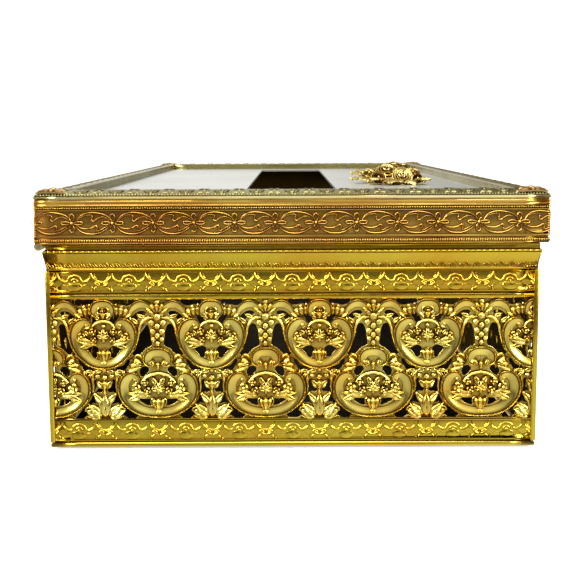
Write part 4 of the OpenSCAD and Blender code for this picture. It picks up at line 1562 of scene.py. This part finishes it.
# %% [markdown]
# ## The parts that keep their CAD shape
# The floor plate, the hinge, its pin, the clips, the rivets and the panel are already right, so they
# only need a finish.

# %% Finishes on the CAD parts
PLAIN = {
    "base_plate": PLAIN_BRASS, "hinge_leaf_base": PLAIN_BRASS, "hinge_leaf_lid": PLAIN_BRASS,
    "hinge_pin": STEEL, "panel_clips": PLAIN_BRASS, "spray_rivets": PLAIN_BRASS, "satin_panel": SATIN,
}
for node, finish in PLAIN.items():
    part = frame["nodes"][node]
    if not part.material_slots:
        part.data.materials.append(finish)
    for material_slot in part.material_slots:
        material_slot.material = finish
print(len(PLAIN), "CAD parts finished;", sum(TALLY.values()), "triangles in the new pieces")

# %% [markdown]
# ## Floor, light and camera
# Gilt shows what is round it, so the light is as much a part of its look as the metal. A white room
# would leave it flat. Here a large soft light hangs over the box and one stands at each side of its
# front. The world round them is dark at eye level and bright below and above, and that gives the relief
# its dark edges.

# %% Floor and backdrop
def stage_material(name, colour, rough):
    glow = {"Specular IOR Level": 0.2, "Emission Color": (1, 1, 1, 1), "Emission Strength": 0.42}
    recipe = Recipe(name, glow)
    grain = recipe.noise(6.0, 2.0)
    pale, deep = (colour,) * 3 + (1,), (colour * 0.97,) * 3 + (1,)
    return recipe.paint(recipe.blend(grain * 0.3, pale, deep), rough + grain * 0.05)


clear()
bpy.ops.mesh.primitive_plane_add(size=12.0, location=(0, 2.0, -0.0002))
floor = bpy.context.object
floor.name = "floor"
floor.data.materials.append(stage_material("pale_floor", 0.93, 0.9))
floor.visible_glossy = False
floor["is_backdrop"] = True

# %% World
def studio_world():
    """White for the camera.

    For the metal it is dark at eye level in front and at the back right, and bright elsewhere.
    """
    world = bpy.data.worlds.new("studio")
    bpy.context.scene.world = world
    world.use_nodes = True
    recipe = Nodes(world.node_tree)
    way = recipe.add("ShaderNodeTexCoord", {}, {}, "Generated")
    across, depth, up = [recipe.add("ShaderNodeSeparateXYZ", {}, {"Vector": way}, axis) for axis in "XYZ"]
    front = recipe.ramp(
        up * 0.5 + 0.5, (0.0, 0.8), (0.3, 0.6), (0.425, 0.56), (0.447, 0.24), (0.49, 0.04), (0.545, 0.03),
        (0.575, 0.35), (0.72, 0.75), (1.0, 1.0),
    )
    side = recipe.ramp(across * 0.5 + 0.5, (0.0, 0.9), (0.36, 0.6), (0.5, 0.85), (0.62, 1.0), (1.0, 0.85))
    behind = recipe.ramp(depth * 0.5 + 0.5, (0.6, 0.0), (0.85, 1.0))
    shadowed = recipe.ramp(across * 0.5 + 0.5, (0.5, 0.0), (0.6, 1.0))
    far = recipe.blend(shadowed, (0.8, 0.8, 0.78, 1), (0.12, 0.11, 0.07, 1))
    seen = recipe.blend(behind, recipe.blend(side, (0, 0, 0, 1), front), far)
    camera_ray = recipe.add("ShaderNodeLightPath", {}, {}, "Is Camera Ray")
    colour = recipe.blend(camera_ray, seen, (1, 1, 1, 1))
    light = recipe.add("ShaderNodeBackground", {}, {"Color": colour, "Strength": 1.25})
    output = recipe.tree.nodes.new("ShaderNodeOutputWorld")
    recipe.join(light, output.inputs["Surface"])


studio_world()
print("world made")


# %% Lights
def softbox(name, place, target, wide, tall, watts):
    light = bpy.data.lights.new(name, "AREA")
    light.shape = "RECTANGLE"
    light.size = wide
    light.size_y = tall
    light.energy = watts
    box = bpy.data.objects.new(name, light)
    box.location = place
    box.rotation_euler = (Vector(target) - Vector(place)).to_track_quat("-Z", "Y").to_euler()
    bpy.context.scene.collection.objects.link(box)


softbox("overhead", (0.1, -0.25, 0.9), (0, 0, 0.05), 0.9, 0.5, 8)
softbox("front_left", (-0.85, -0.75, 0.65), (0, -0.1, 0.04), 0.6, 0.8, 19)
softbox("front_right", (0.9, -0.8, 0.5), (0, -0.1, 0.04), 0.4, 0.7, 10)
print("three soft lights")

# %% Camera
camera_data = bpy.data.cameras.new("camera")
camera_data.lens = 58.5
camera_data.sensor_width = 36.0
camera_data.shift_y = -0.07
camera = bpy.data.objects.new("camera", camera_data)
camera.location = (-0.00065, -0.38407, 0.08689)
camera.rotation_euler = (math.radians(90 - 6.82), math.radians(0.25), math.radians(-0.05))
camera_data.clip_start = 0.01
bpy.context.scene.collection.objects.link(camera)
bpy.context.scene.camera = camera
bpy.context.scene.view_settings.view_transform = "Standard"
print("camera with a lens of", camera_data.lens, "mm")

# %% Sizes, and the end
clear()
low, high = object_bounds()
reach = [[round(value / MM, 2) for value in corner] for corner in (low, high)]
print("the visual model reaches from", reach[0], "to", reach[1])
